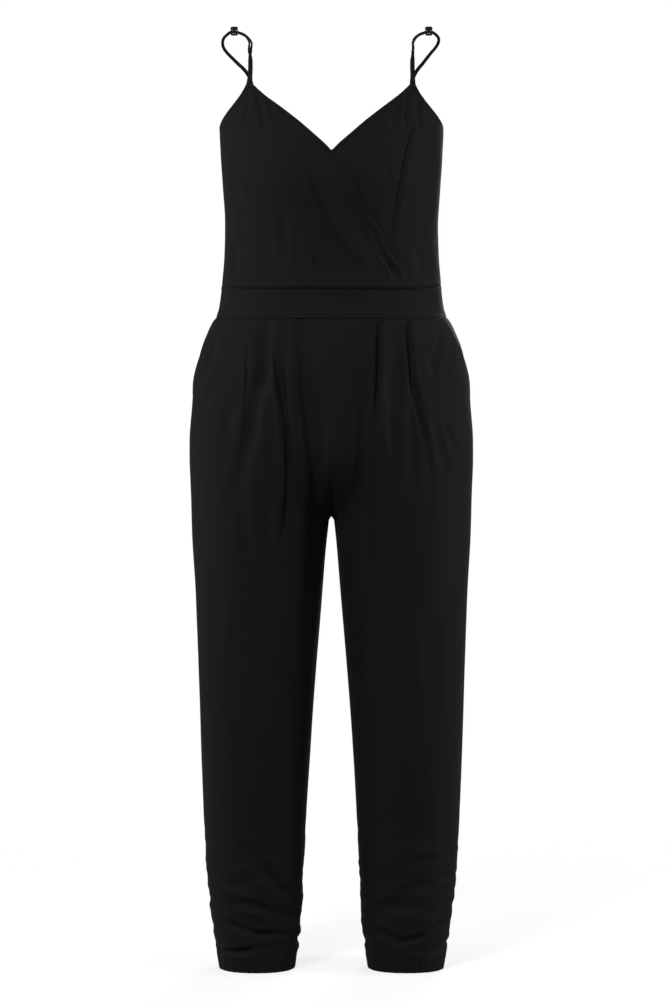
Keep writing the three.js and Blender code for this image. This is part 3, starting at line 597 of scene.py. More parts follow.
def sweep(name: str, ring: Ring, squareness: float = 3.2, sides: int = 20) -> bpy.types.Object:
    """A strip with a rounded flat section along stations.

    The section is a superellipse: both half sizes times the signed power of a cosine and sine.

    Args:
        name: Name of the piece.
        ring: Stations along the strip.
        squareness: 2 is an ellipse, more is flatter.
        sides: Points round the section.

    Returns:
        The piece.
    """
    along = unit(np.gradient(ring.at, axis=0))
    wide = unit(ring.wide - along * np.sum(ring.wide * along, axis=-1, keepdims=True))
    face = unit(np.cross(wide, along))
    turn = np.linspace(0.0, 2.0 * np.pi, sides, endpoint=False)
    power = 2.0 / squareness
    c = np.sign(np.cos(turn)) * np.abs(np.cos(turn)) ** power
    s = np.sign(np.sin(turn)) * np.abs(np.sin(turn)) ** power
    half_wide = (ring.width[:, None] * c)[..., None] / 2.0
    half_thick = (ring.thick[:, None] * s)[..., None] / 2.0
    points = ring.at[:, None] + wide[:, None] * half_wide + face[:, None] * half_thick
    count = len(ring.at)
    flat = points.reshape(-1, 3)
    lengths = run_lengths(ring.at[None], 1)[0]
    uv = np.stack(np.broadcast_arrays(c[None] * ring.width[:, None] / 2.0, lengths[:, None]), -1)
    uv = uv.reshape(-1, 2) * MM
    quads = grid_quads(count, sides, closed=True)
    half = sides // 2
    k = np.arange(half - 1)
    cap = np.stack([k, k + 1, sides - 2 - k, sides - 1 - k], axis=-1)
    end = cap[:, ::-1] + (count - 1) * sides
    return make_mesh(name, flat, np.concatenate([quads, cap, end]), uv)


def mirrored(points: Array, side: Side) -> Array:
    """Points of the wearer's left carried over to the given side."""
    return points * np.array([side.value, 1.0, 1.0])


def spline(points: Sequence[Sequence[float]], count: int) -> Array:
    """Evenly spaced points along a smooth line through the given ones.

    Each span is a cubic whose end slopes follow the square roots of the distances between the
    points, so that close points don't make loops; the ends are carried on straight.

    Args:
        points: Points to pass through.
        count: How many points to return.

    Returns:
        (count, 3) points.
    """
    p = np.asarray(points, float)
    p = np.concatenate([[2.0 * p[0] - p[1]], p, [2.0 * p[-1] - p[-2]]])
    step = np.sqrt(np.linalg.norm(np.diff(p, axis=0), axis=-1))[:, None]
    a, b, c, d = p[:-3], p[1:-2], p[2:-1], p[3:]
    d0, d1, d2 = step[:-2], step[1:-1], step[2:]
    t1 = ((b - a) / d0 - (c - a) / (d0 + d1) + (c - b) / d1) * d1
    t2 = ((c - b) / d1 - (d - b) / (d1 + d2) + (d - c) / d2) * d1
    t = np.linspace(0.0, 1.0, 40, endpoint=False)[None, :, None]
    b, c, t1, t2 = (v[:, None] for v in (b, c, t1, t2))
    fine = b + t1 * t + (3 * (c - b) - 2 * t1 - t2) * t**2 + (2 * (b - c) + t1 + t2) * t**3
    fine = np.concatenate([fine.reshape(-1, 3), p[-2:-1]])
    run = run_lengths(fine[None], 1)[0]
    at = np.linspace(0.0, run[-1], count)
    return looked_up(at, run, fine)


class Stitching(NamedTuple):
    """Sizes of a row of stitches: from one to the next, length of each and radius of the thread."""

    pitch: float
    length: float
    radius: float


EDGE_STITCHES = Stitching(2.6, 1.9, 0.17)
POCKET_STITCHES = Stitching(2.9, 2.1, 0.19)
HEM_STITCHES = Stitching(2.9, 2.1, 0.2)


def stitch_row(name: str, path: Array, normal: Array, size: Stitching) -> bpy.types.Object:
    """A row of sewn stitches along a line on the cloth, as one mesh of small rounded rods.

    Args:
        name: Name of the piece.
        path: (n, 3) points on the cloth's outside.
        normal: (n, 3) outward normals there.
        size: Sizes of the stitches.

    Returns:
        The piece.
    """
    run = run_lengths(path[None], 1)[0]
    count = max(int(run[-1] / size.pitch), 1)
    along = np.array([-0.5, -0.36, 0.0, 0.36, 0.5]) * size.length
    swell = np.array([0.12, 0.85, 1.0, 0.85, 0.12]) * size.radius
    sunk = np.array([-0.6, 0.15, 0.45, 0.15, -0.6]) * size.radius
    at = (np.arange(count)[:, None] + 0.5) * (run[-1] / count) + along[None, :]
    middle, up = looked_up(at, run, path), unit(looked_up(at, run, normal))
    forward = unit(np.broadcast_to(middle[:, -1:] - middle[:, :1], middle.shape))
    aside = unit(np.cross(up, forward))
    sides = 6
    turn = np.linspace(0.0, 2.0 * np.pi, sides, endpoint=False)
    spread = aside[:, :, None] * np.cos(turn)[:, None] + up[:, :, None] * np.sin(turn)[:, None]
    points = middle[:, :, None] + up[:, :, None] * sunk[None, :, None, None]
    points = points + spread * swell[None, :, None, None]
    body = grid_quads(len(along), sides, closed=True)
    k = np.arange(sides // 2 - 1)
    cap = np.stack([k, k + 1, sides - 2 - k, sides - 1 - k], axis=-1)
    one = np.concatenate([body, cap, cap[:, ::-1] + (len(along) - 1) * sides])
    shift = np.arange(count)[:, None, None] * (len(along) * sides)
    return make_mesh(name, points.reshape(-1, 3), (one[None] + shift).reshape(-1, 4))


class Sock:
    """A value or colour inside a material, on which sums and products add nodes."""

    def __init__(self, graph: "Graph", link: bpy.types.NodeSocket) -> None:
        """Wraps a socket of the graph."""
        self.graph = graph
        self.link = link

    def _math(self, operation: str, *values: "Operand") -> "Sock":
        """A Math node on the given values."""
        return self.graph.node("ShaderNodeMath", {"operation": operation}, values)

    def __add__(self, other: "Operand") -> "Sock":
        """self + other."""
        return self._math("ADD", self, other)

    __radd__ = __add__

    def __mul__(self, other: "Operand") -> "Sock":
        """self * other."""
        return self._math("MULTIPLY", self, other)

    __rmul__ = __mul__

    def __sub__(self, other: "Operand") -> "Sock":
        """self - other."""
        return self._math("SUBTRACT", self, other)

    def __rsub__(self, other: "Operand") -> "Sock":
        """other - self."""
        return self._math("SUBTRACT", other, self)

    def __abs__(self) -> "Sock":
        """Value without its sign."""
        return self._math("ABSOLUTE", self)

    def sine(self) -> "Sock":
        """Sine of the value in radians."""
        return self._math("SINE", self)

    def fraction(self) -> "Sock":
        """What is left above the whole number below."""
        return self._math("FRACT", self)


Operand = Union[Sock, float, tuple]


class Graph:
    """The node tree of one material."""

    def __init__(self, name: str) -> None:
        """Starts a material with nothing in it but its output."""
        self.material = bpy.data.materials.new(name)
        self.material.use_nodes = True
        self.tree = self.material.node_tree
        self.tree.nodes.clear()

    def node(self, kind: str, settings: dict[str, object], inputs: object = (),
             output: int | str = 0) -> Sock:
        """Adds any node.

        Args:
            kind: Blender's name of the node type.
            settings: Properties, set before the sockets.
            inputs: Values or links, in order or by socket name.
            output: Which output to return.

        Returns:
            The chosen output.
        """
        made = self.tree.nodes.new(kind)
        for key, value in settings.items():
            setattr(made, key, value)
        pairs = inputs.items() if isinstance(inputs, dict) else enumerate(inputs)
        for key, value in pairs:
            if isinstance(value, Sock):
                self.tree.links.new(value.link, made.inputs[key])
            else:
                made.inputs[key].default_value = value
        return Sock(self, made.outputs[output])

    def blend(self, share: Operand, first: Operand, second: Operand) -> Sock:
        """Colour between first and second by a share from 0 to 1."""
        inputs = {0: share, 6: first, 7: second}
        return self.node("ShaderNodeMix", {"data_type": "RGBA", "clamp_factor": True}, inputs, 2)

    def noise(self, place: Sock, scale: float, detail: float = 3.0) -> Sock:
        """Fractal noise from 0 to 1 about 0.5."""
        inputs = {"Vector": place, "Scale": scale, "Detail": detail, "Roughness": 0.55}
        return self.node("ShaderNodeTexNoise", {}, inputs)

    def bump(self, height: Sock, strength: float, distance: float) -> Sock:
        """The normal bent by a height of about 0 to 1, which stands for a distance in metres."""
        inputs = {"Strength": strength, "Distance": distance, "Height": height}
        return self.node("ShaderNodeBump", {}, inputs)

    def finish(self, shader: Sock) -> bpy.types.Material:
        """Links the shader to the output and gives the material."""
        out = self.tree.nodes.new("ShaderNodeOutputMaterial")
        self.tree.links.new(shader.link, out.inputs["Surface"])
        return self.material


def linear(level: float, tint: tuple[float, float, float] = (1.0, 1.0, 1.0)) -> tuple:
    """An opaque colour of a given linear brightness."""
    return tuple(level * part for part in tint) + (1.0,)


@dataclass(frozen=True)
class JerseyFinish:
    """Matt black knitted jersey: upright wales of small slanted stitches, with a soft nap.

    Attributes:
        name: Name of the material.
        deep: Darkest brightness of the cloth.
        pale: Brightness where the nap catches light.
        wale: Width of one column of stitches, in metres.
        course: Height of one row of stitches, in metres.
        relief: Height of the stitches in the bump, in metres.
        rough: Middle of the roughness.
        shine: Level of the specular reflection.
        sheen: Weight of the sheen at grazing angles.
        nap_scale: How fine the nap is.
        cloud_scale: How fine the soft change over a panel is.
    """

    name: str = "black_jersey"
    deep: float = 0.0036
    pale: float = 0.0064
    wale: float = 0.00085
    course: float = 0.00068
    relief: float = 0.00011
    rough: float = 0.82
    shine: float = 0.06
    sheen: float = 0.014
    nap_scale: float = 620.0
    cloud_scale: float = 14.0

    def material(self) -> bpy.types.Material:
        """Builds the material.

        Returns:
            The material, with its pattern on the piece's own cloth coordinates.
        """
        g = Graph(self.name)
        place = g.node("ShaderNodeTexCoord", {}, output="Object")
        flat = g.node("ShaderNodeUVMap", {"uv_map": "cloth"})
        across = g.node("ShaderNodeSeparateXYZ", {}, [flat], "X")
        along = g.node("ShaderNodeSeparateXYZ", {}, [flat], "Y")
        from_middle = abs((across * (1.0 / self.wale)).fraction() - 0.5)
        leg = (from_middle * (2.0 * math.pi)).sine()
        slant = ((along * (1.0 / self.course) + from_middle * 1.6) * (2.0 * math.pi)).sine()
        stitch = leg * (slant * 0.35 + 0.65)
        nap = g.noise(place, self.nap_scale, 2.0)
        cloud = g.noise(place, self.cloud_scale, 4.0)
        drawn = g.node("ShaderNodeVectorMath", {"operation": "MULTIPLY"}, [flat, (240.0, 9.0, 1.0)])
        streak = g.noise(drawn, 1.0, 2.0)
        share = stitch * 0.34 + nap * 0.3 + cloud * 0.34 + streak * 0.3 - 0.22
        deep, pale = linear(self.deep, (1.0, 1.0, 1.08)), linear(self.pale, (1.0, 1.0, 1.1))
        colour = g.blend(share, deep, pale)
        rough = (cloud - 0.5) * 0.12 + (nap - 0.5) * 0.08 + self.rough
        bump = g.bump(stitch * 0.8 + nap * 0.35, 0.55, self.relief)
        return g.finish(g.node("ShaderNodeBsdfPrincipled", {}, {
            "Base Color": colour, "Roughness": rough, "Normal": bump,
            "Specular IOR Level": self.shine, "Sheen Weight": self.sheen, "Sheen Roughness": 0.45,
            "Sheen Tint": linear(1.0),
        }))


@dataclass(frozen=True)
class PlasticFinish:
    """Smooth black moulded plastic with faint handling marks."""

    name: str = "black_plastic"
    deep: float = 0.003
    pale: float = 0.006
    rough: float = 0.5
    shine: float = 0.1
    relief: float = 0.00004

    def material(self) -> bpy.types.Material:
        """Builds the material on Object coordinates."""
        g = Graph(self.name)
        place = g.node("ShaderNodeTexCoord", {}, output="Object")
        cloud = g.noise(place, 160.0)
        grain = g.noise(place, 2600.0, 2.0)
        colour = g.blend(cloud, linear(self.deep), linear(self.pale, (1.0, 1.0, 1.05)))
        bump = g.bump(grain, 0.3, self.relief)
        rough = (cloud - 0.5) * 0.25 + self.rough
        return g.finish(g.node("ShaderNodeBsdfPrincipled", {}, {
            "Base Color": colour, "Roughness": rough, "Normal": bump,
            "Specular IOR Level": self.shine,
        }))


@dataclass(frozen=True)
class FloorFinish:
    """Plain pale studio floor that fades into the surround away from the object.

    Attributes:
        name: Name of the material.
        level: Brightness of the floor.
        firm: How much of it shows at most, so that shadows on it stay faint.
        solid: Distance from the middle up to which it shows most, in metres.
        gone: Distance at which it has faded away.
    """

    name: str = "pale_floor"
    level: float = 0.74
    firm: float = 0.27
    solid: float = 0.35
    gone: float = 1.5

    def material(self) -> bpy.types.Material:
        """Builds the material on Object coordinates."""
        g = Graph(self.name)
        place = g.node("ShaderNodeTexCoord", {}, output="Object")
        flat = g.node("ShaderNodeVectorMath", {"operation": "MULTIPLY"}, [place, (1.0, 1.0, 0.0)])
        away = g.node("ShaderNodeVectorMath", {"operation": "LENGTH"}, [flat], "Value")
        alpha = g.node("ShaderNodeMapRange", {"interpolation_type": "SMOOTHERSTEP"},
                       [away, self.solid, self.gone, self.firm, 0.0])
        cloud = g.noise(place, 0.7)
        colour = g.blend(cloud, linear(self.level), linear(self.level + 0.01))
        return g.finish(g.node("ShaderNodeBsdfPrincipled", {}, {
            "Base Color": colour, "Roughness": 0.9, "Specular IOR Level": 0.1, "Alpha": alpha,
        }))


@dataclass
class Wardrobe:
    """The finishes, made once and shared by all pieces."""

    jersey: bpy.types.Material = field(default_factory=lambda: JerseyFinish().material())
    edging: bpy.types.Material = field(default_factory=lambda: JerseyFinish(
        name="black_edging", deep=0.0034, pale=0.006, relief=0.00008).material())
    thread: bpy.types.Material = field(default_factory=lambda: PlasticFinish(
        name="black_thread", deep=0.004, pale=0.007, rough=0.6, shine=0.12).material())
    plastic: bpy.types.Material = field(default_factory=lambda: PlasticFinish().material())

    def dress(self, piece: bpy.types.Object, slot: str, nodes: Sequence[str] = (),
              material: bpy.types.Material | None = None) -> bpy.types.Object:
        """Gives a piece its material and body, and hides the solids that it stands for.

        Args:
            piece: The piece.
            slot: Material slot of the record.
            nodes: Solids that the piece replaces.
            material: Another material than the slot's own.

        Returns:
            The piece.
        """
        own = {"jersey": self.jersey, "edging": self.edging, "adjuster": self.plastic}
        piece.data.materials.append(material or own[slot])
        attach(piece, "root")
        if nodes:
            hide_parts(*nodes)
        LOG.info("%s: %d faces", piece.name, len(piece.data.polygons))
        return piece

    def sew(self, name: str, slot: str, path: Array, normal: Array, size: Stitching) -> None:
        """Sews a row of stitches along a line on the cloth."""
        self.dress(stitch_row(name, path, normal, size), slot, material=self.thread)


class EdgeRow(NamedTuple):
    """Where a neck or wrap edge lies: angle past the centre front, negative on its own side."""

    down: float
    past: float


class ArmRow(NamedTuple):
    """Where a front armhole edge lies: angle from the centre front."""

    down: float
    angle: float


class FrontRow(NamedTuple):
    """Height of a row of a front at the armhole or side, and at the neck or wrap edge."""

    side: float
    edge: float


Line = Array  # (n, 2) stations of an angle and a height


def fine_line(line: Line, at: Array) -> Line:
    """A line's stations at in-between places."""
    return np.stack(between_rows(line, at), axis=-1)


@dataclass(frozen=True)
class Binding:
    """A narrow folded strip sewn over a raw edge, with one row of stitches along it.

    Across the strip its rise is the root of 1 - |2t - 1|^3, which rounds both edges over.

    Attributes:
        width: From edge to edge.
        shown: The same over the rounding, as the strip's cut states it; not used.
        columns: Points across the strip.
        middle: The column that the cut's length is measured along; not used.
        sewn: The column that the stitches follow.
        sunk: How deep its edges lie under the form.
        rise: How far its middle stands above them.
        fall: How far its inside bulges the other way.
    """

    width: float = 5.0
    shown: float = 5.4
    columns: int = 13
    middle: int = 6
    sewn: int = 10
    sunk: float = 0.5
    rise: float = 0.95
    fall: float = 0.35

    def across(self) -> Array:
        """Shares from one edge to the other, as one row."""
        return crowded(self.columns, 0.9)[None, :]

    def sew(self, wardrobe: "Wardrobe", node: str, angle: Array, down: Array, base: Number,
            ripple: Array, under: str) -> None:
        """Makes one binding and its stitches.

        Args:
            wardrobe: The finishes.
            node: The solid that it stands for.
            angle: Angles of its points.
            down: Heights of its points.
            base: How far the cloth under it stands off the form.
            ripple: Unevenness of its rise.
            under: Name of the panel that it is sewn to; not used.
        """
        point, normal = BODY.point(angle, down), BODY.normal(angle, down)
        plump = (1.0 - np.abs(2.0 * self.across() - 1.0) ** 3.0) ** 0.5
        high = base - self.sunk + (self.rise + ripple) * plump
        low = base - self.sunk - self.fall * plump
        outer, inner = (point + normal * rise[..., None] for rise in (high, low))
        strip = wardrobe.dress(shell(f"{node}_strip", outer, inner), "edging", [node])
        path, up = outer[:, self.sewn], normal[:, self.sewn]
        wardrobe.sew(f"{node}_stitches", "edging", path, up, EDGE_STITCHES)


BINDING = Binding()


@dataclass(frozen=True)
class BodiceFront:
    """One of the two crossed fronts with its bound neck and armhole edges.

    Attributes:
        cut: Width and length of its flat cut, and its area, in metres; not used.
        lift: How far the top front stands out, and the under one in, at the middle.
        cover_drop: How much deeper the under front lies where it is covered.
        drop_span: Degrees past the other front's edge over which it goes down.
        drop_rows: Heights over which that starts.
        calm_span: Degrees over which its creases are lost.
        calm_rows: Heights over which that starts.
        show_span: Degrees over which its fullness above the waist is lost.
        waist_rows: Heights over which creases and wrap come to rest at the waist.
    """

    side: Side
    creases: tuple[Crease, ...]
    cut: tuple[float, float, float] = (0.31, 0.33, 0.064)
    lift: float = 1.4
    slack: tuple[Slack, ...] = (Slack(26, 120.0, 0.55, 11), Slack(60, 34.0, 0.22, 12))
    cover_drop: float = 2.6
    drop_span: tuple[float, float] = (-4.0, 3.0)
    drop_rows: tuple[float, float] = (205.0, 225.0)
    calm_span: tuple[float, float] = (2.0, 10.0)
    calm_rows: tuple[float, float] = (190.0, 215.0)
    show_span: tuple[float, float] = (-6.0, -1.0)
    waist_rows: tuple[float, float] = (372.0, 400.0)
    layer_from: float = 60.0
    layer_to: float = 88.0
    arm_underlap: float = 1.5
    underarm: float = 152.0
    neck_top: float = 91.5
    arm_top: tuple[float, ...] = (85.0, 91.0)
    neck_rows: tuple[EdgeRow, ...] = rows_of(
        EdgeRow, (84, -65.4), (95, -60.3), (104, -56.0), (121, -46.6), (138, -35.8), (155, -25.1),
        (172, -15.4), (188, -7), (200, -1), (241, 12.1), (288, 23.8), (321, 33.5), (344, 40.7),
        (371, 48.4), (410, 56.4),
    )
    arm_rows: tuple[ArmRow, ...] = rows_of(
        ArmRow, (84, 64.6), (101, 65), (110, 66), (123.5, 69.2), (136.6, 74.5), (143, 78.4),
        (148, 83.6), (152, 90),
    )
    rows: tuple[FrontRow, ...] = rows_of(
        FrontRow, (98, 98), (106, 109), (114, 121), (122, 133), (130, 145), (137, 157), (143, 169),
        (148, 181), (152, 192), (176, 208), (200, 226), (225, 247), (250, 270), (276, 294), (303, 320),
        (330, 346), (358, 374),
    )

    def __post_init__(self) -> None:
        """Turns the edge tables into curves."""
        object.__setattr__(self, "_past", curves(self.neck_rows)["past"])
        object.__setattr__(self, "_arm", curves(self.arm_rows)["angle"])

    def neck_angle(self, down: Array) -> Array:
        """Angle of the neck or wrap edge at a height."""
        return -self.side.value * self._past(down)

    def arm_angle(self, down: Array) -> Array:
        """Angle of the armhole edge at a height."""
        return self.side.value * self._arm(np.clip(down, self.arm_rows[0].down, self.underarm))

    def inset(self, edge: Callable[[Array], Array], down: Array, width: float, inward: int) -> Line:
        """Moves points of an edge into the panel by a width measured on the cloth.

        Args:
            edge: Gives the edge's angle at a height.
            down: Heights on the edge.
            width: How far to move.
            inward: Sign of the angle towards the panel.

        Returns:
            Stations of an angle and a height.
        """
        angle = edge(down)
        radius = np.hypot(*np.moveaxis(BODY.point(angle, down)[..., :2], -1, 0))
        across = np.radians(edge(down + 0.5) - edge(down - 0.5)) * radius
        length = np.hypot(across, 1.0)
        moved = angle + np.degrees(inward / length / radius * width)
        return np.stack([moved, down - inward * across / length * width], axis=-1)

    def wrap_end(self) -> float:
        """Height at which the wrap edge runs into the waist seam."""
        down = BODY.waist_top.side + BODY.waist_top.front_dip / 2.0
        for _ in range(20):
            down = float(BODY.waist_top.down(self.neck_angle(np.array(down)))) - GAP / 2.0
        return down

    def neck_line(self, width: float, extra: Sequence[float] = ()) -> Line:
        """Stations a width inside the neck and wrap edge, down to the waist seam."""
        downs = np.array([*extra, *(row.edge for row in self.rows)], float)
        line = self.inset(self.neck_angle, downs, width, self.side.value)
        end = self.inset(self.neck_angle, np.array([self.wrap_end()]), width, self.side.value)
        end[0, 1] = BODY.waist_top.down(end[0, 0]) + TUCK
        return np.concatenate([line, end])

    def arm_line(self, width: float, extra: Sequence[float] = ()) -> Line:
        """Stations a width inside the armhole edge, down to the underarm."""
        own = [row.side for row in self.rows if row.side < self.underarm]
        line = self.inset(self.arm_angle, np.array([*extra, *own], float), width, -self.side.value)
        corner = self.side.value * (90.0 - BODY.seam_angle(self.underarm))
        return np.concatenate([line, [[corner, self.underarm + width]]])

    def offset(self, angle: Array, down: Array, x: Array) -> Array:
        """How far the cloth stands off the form: its layer of the wrap and its creases.

        The under front sinks where the top one covers it, and both come back to the side seams.

        Args:
            angle: Angles.
            down: Heights.
            x: Sideways places, for the creases.

        Returns:
            Offsets along the form's normal.
        """
        layer = self.lift if self.side is Side.RIGHT else -self.lift
        overlap = 1.0 - smooth(self.side.value * angle, self.layer_from, self.layer_to)
        above = 1.0 - smooth(down, *self.waist_rows)
        sunk = self.cover_drop * self.covered(angle, down, self.drop_span) * smooth(down, *self.drop_rows)
        lost = 0.8 * self.covered(angle, down, self.calm_span) * smooth(down, *self.calm_rows)
        return layer * overlap - (trough(self.creases, x, down) * (1.0 - lost) + sunk) * above

    def covered(self, angle: Array, down: Array, span: tuple[float, float]) -> Number:
        """0 where this front shows, rising to 1 over a span where the other one covers it."""
        if self.side is Side.RIGHT:
            return 0.0
        return smooth(self._past(down) - angle, *span)

    def panel(self) -> tuple[Array, Array]:
        """The panel's outside and its form's normals, (rows, columns, 3) each."""
        width = BINDING.width - TUCK
        edge, arm = self.neck_line(width), self.arm_line(width - self.arm_underlap)
        below = np.array([row.side for row in self.rows[len(arm):]] + [BODY.waist_top.side + TUCK])
        seam = np.stack([self.side.value * (90.0 - BODY.seam_angle(below)), below], axis=-1)
        starts = np.concatenate([arm, seam])
        last = len(edge) - 1
        at = np.unique(np.concatenate([np.linspace(0, last - 1, 120), last - 1 + crowded(22)]))
        first, end = fine_line(starts, at), fine_line(edge, at)
        t = crowded(120)[None, :]
        angle = mix(first[:, :1], end[:, :1], t)
        seam_rise = BODY.waist_top.down(angle) - mix(
            BODY.waist_top.down(first[:, :1]), BODY.waist_top.down(end[:, :1]), t)
        down = mix(first[:, 1:], end[:, 1:], t) + smooth(at, last - 6.0, last)[:, None] * seam_rise
        point, normal = BODY.point(angle, down), BODY.normal(angle, down)
        out = self.offset(angle, down, point[..., 0]) + self.surface(angle, down, borders(point))
        return point + normal * out[..., None], normal

    def surface(self, angle: Array, down: Array, edge: Borders) -> Array:
        """Small relief: slack, the roll at the seams and the fullness above the waist seam."""
        slack = slackened(self.slack, angle, down)
        under_arm = 1.0 - smooth(down, self.underarm - 2.0, self.underarm + 8.0)
        first = mix(rolled(edge.first), 0.5 * tucked(edge.first), under_arm)
        sunk = first + 0.5 * tucked(edge.last)
        blouse = 3.0 * bell((edge.foot - 8.0) / 6.5) - 1.1 * tucked(edge.foot)
        front = smooth(np.cos(np.radians(angle)), 0.1, 0.45)
        showing = 1.0 - self.covered(angle, down, self.show_span)
        rise = np.where(blouse > 0.0, blouse * front * showing, blouse)
        return slack * smooth(edge.foot, 0.0, 12.0) - sunk + rise

    def bind(self, wardrobe: Wardrobe, node: str, lines: tuple[Line, Line], under: str) -> None:
        """Binds an edge with a strip between two lines.

        Args:
            wardrobe: The finishes.
            node: The solid that the strip stands for.
            lines: Stations of the outer and the inner edge.
            under: Name of the panel that it is sewn to.
        """
        at = np.linspace(0.0, len(lines[0]) - 1, 190)
        first, last = (fine_line(line, at) for line in lines)
        t = BINDING.across()
        angle, down = mix(first[:, :1], last[:, :1], t), mix(first[:, 1:], last[:, 1:], t)
        base = self.offset(angle, down, BODY.point(angle, down)[..., 0])
        ripple = 0.12 * np.sin(at[:, None] * 9.0) + 0.1 * np.sin(at[:, None] * 14.3 + 1.0)
        BINDING.sew(wardrobe, node, angle, down, base, ripple, under)

    def build(self, wardrobe: Wardrobe) -> None:
        """Makes the panel, its two bindings and their stitching."""
        word = self.side.word
        outer, normal = self.panel()
        node = f"bodice_front_{word}"
        panel = wardrobe.dress(cloth(f"{node}_cloth", outer, normal), "jersey", [node])
        neck = tuple(self.neck_line(w, [self.neck_top]) for w in (0.0, BINDING.width))
        arm = tuple(self.arm_line(w, self.arm_top) for w in (0.0, BINDING.width))
        for kind, lines in (("neck", neck), ("armhole", arm)):
            self.bind(wardrobe, f"{kind}_binding_{word}", lines, panel.name)


@dataclass(frozen=True)
class BodiceBack:
    """The straight-topped back of the bodice and the binding along its top."""

    top_side: float = 152.0
    top_centre: float = 166.0
    slack: tuple[Slack, ...] = (Slack(26, 110.0, 0.7, 21), Slack(60, 34.0, 0.25, 22))
    creases: tuple[Crease, ...] = rows_of(
        Crease, (-150, 190, -96, 262, 6, 1.6, 9), (146, 186, 88, 268, -6, 1.8, 10),
        (-128, 240, -70, 352, 5, 2.2, 12), (124, 232, 62, 344, -5, 2.0, 11),
        (-30, 205, -22, 330, 3, 1.1, 12), (36, 214, 24, 318, -3, 1.2, 11),
        (-118, 330, -64, 392, 4, 2.0, 9), (112, 322, 66, 390, -5, 2.2, 10),
        (-20, 330, 18, 388, 3, 1.4, 9), (-60, 300, -44, 388, 2, 1.6, 8), (52, 312, 40, 386, -3, 1.5, 8),
        (-152, 300, -120, 372, 5, 1.6, 8), (150, 306, 122, 380, -4, 1.5, 8),
    )

    def top(self, angle: Array) -> Array:
        """Height of the back's upper edge at an angle."""
        towards = smooth(np.abs(np.cos(np.radians(angle))), 0.0, 0.8)
        return mix(self.top_side, self.top_centre, towards)

    def build(self, wardrobe: Wardrobe) -> None:
        """Makes the back, its binding and its stitching."""
        seam = float(BODY.seam_angle(300.0, -TUCK))
        angle = mix(90.0 + seam, 270.0 - seam, crowded(130))[None, :]
        start = self.top(angle) + BINDING.width - TUCK
        down = mix(start, BODY.waist_top.down(angle) + TUCK, crowded(120)[:, None])
        angle = np.broadcast_to(angle, down.shape)
        point, normal = BODY.point(angle, down), BODY.normal(angle, down)
        edge = borders(point)
        slack = slackened(self.slack, angle, down)
        inside = np.minimum(edge.first, edge.last)
        calm = smooth(edge.foot, 0.0, 14.0) * smooth(inside, 0.0, 14.0)
        folds = trough(self.creases, point[..., 0], down)
        blouse = 2.2 * bell((edge.foot - 12.0) / 9.0) * smooth(inside, 0.0, 60.0)
        sides = np.maximum(tucked(edge.first), tucked(edge.last))
        sunk = np.maximum(sides, np.maximum(0.5 * tucked(edge.top), 1.1 * tucked(edge.foot)))
        out = (slack - folds) * calm + blouse - sunk
        panel = cloth("bodice_back_cloth", point + normal * out[..., None], normal)
        wardrobe.dress(panel, "jersey", ["bodice_back"])
        self.bind(wardrobe, panel.name)

    def bind(self, wardrobe: Wardrobe, under: str) -> None:
        """Binds the upper edge from side seam to side seam."""
        seam = float(BODY.seam_angle(self.top_side))
        angle = np.linspace(90.0 + seam, 270.0 - seam, 260)[:, None]
        down = self.top(angle) + BINDING.across() * BINDING.width
        angle = np.broadcast_to(angle, down.shape)
        BINDING.sew(wardrobe, "back_binding", angle, down, 0.0, 0.15 * np.sin(angle * 1.9), under)


@dataclass(frozen=True)
class Waistband:
    """The plain band between bodice and trousers, its seam turnings pressed inside it."""

    start: float
    end: float
    name: str
    cut: tuple[float, float]
    under: bool
    turning: float = 7.5
    ridge: float = 0.38
    slack: tuple[Slack, ...] = (Slack(40, 60.0, 0.35, 31), Slack(110, 9.0, 0.14, 32))

    def build(self, wardrobe: Wardrobe) -> None:
        """Makes one half of the band."""
        seam = float(BODY.seam_angle(415.0, -TUCK if self.under else GAP / 2.0))
        angle = mix(self.start + seam, self.end - seam, crowded(150, 0.7))[None, :]
        top = BODY.waist_top.down(angle) + GAP / 2.0
        down = mix(top, BODY.waist_low.down(angle) - GAP / 2.0, crowded(44, 0.6)[:, None])
        angle = np.broadcast_to(angle, down.shape)
        point, normal = BODY.point(angle, down), BODY.normal(angle, down)
        edge = borders(point)
        low, high = self.turning - 1.1, self.turning + 1.1
        ridges = sum(1.0 - smooth(d, low, high) for d in (edge.top, edge.foot))
        side = tucked if self.under else rolled
        rolls = rolled(edge.top) + 0.35 * rolled(edge.foot) + side(edge.first) + side(edge.last)
        slack = slackened(self.slack, angle, down)
        out = self.ridge * ridges - rolls + slack * smooth(np.minimum(edge.top, edge.foot), 0.0, 6.0)
        panel = cloth(f"{self.name}_cloth", point + normal * out[..., None], normal)
        wardrobe.dress(panel, "jersey", [self.name])


class PleatRow(NamedTuple):
    """Places and depths of a leg's two knife pleats and of its slack fold, at one height."""

    down: float
    outer: float
    outer_depth: float
    inner: float
    inner_depth: float
    soft: float
    soft_depth: float


class RingCrease(NamedTuple):
    """A wrinkle round the lower leg: both ends as a turn and a height, bow, depth, half width."""

    turn0: float
    down0: float
    turn1: float
    down1: float
    bow: float
    depth: float
    reach: float


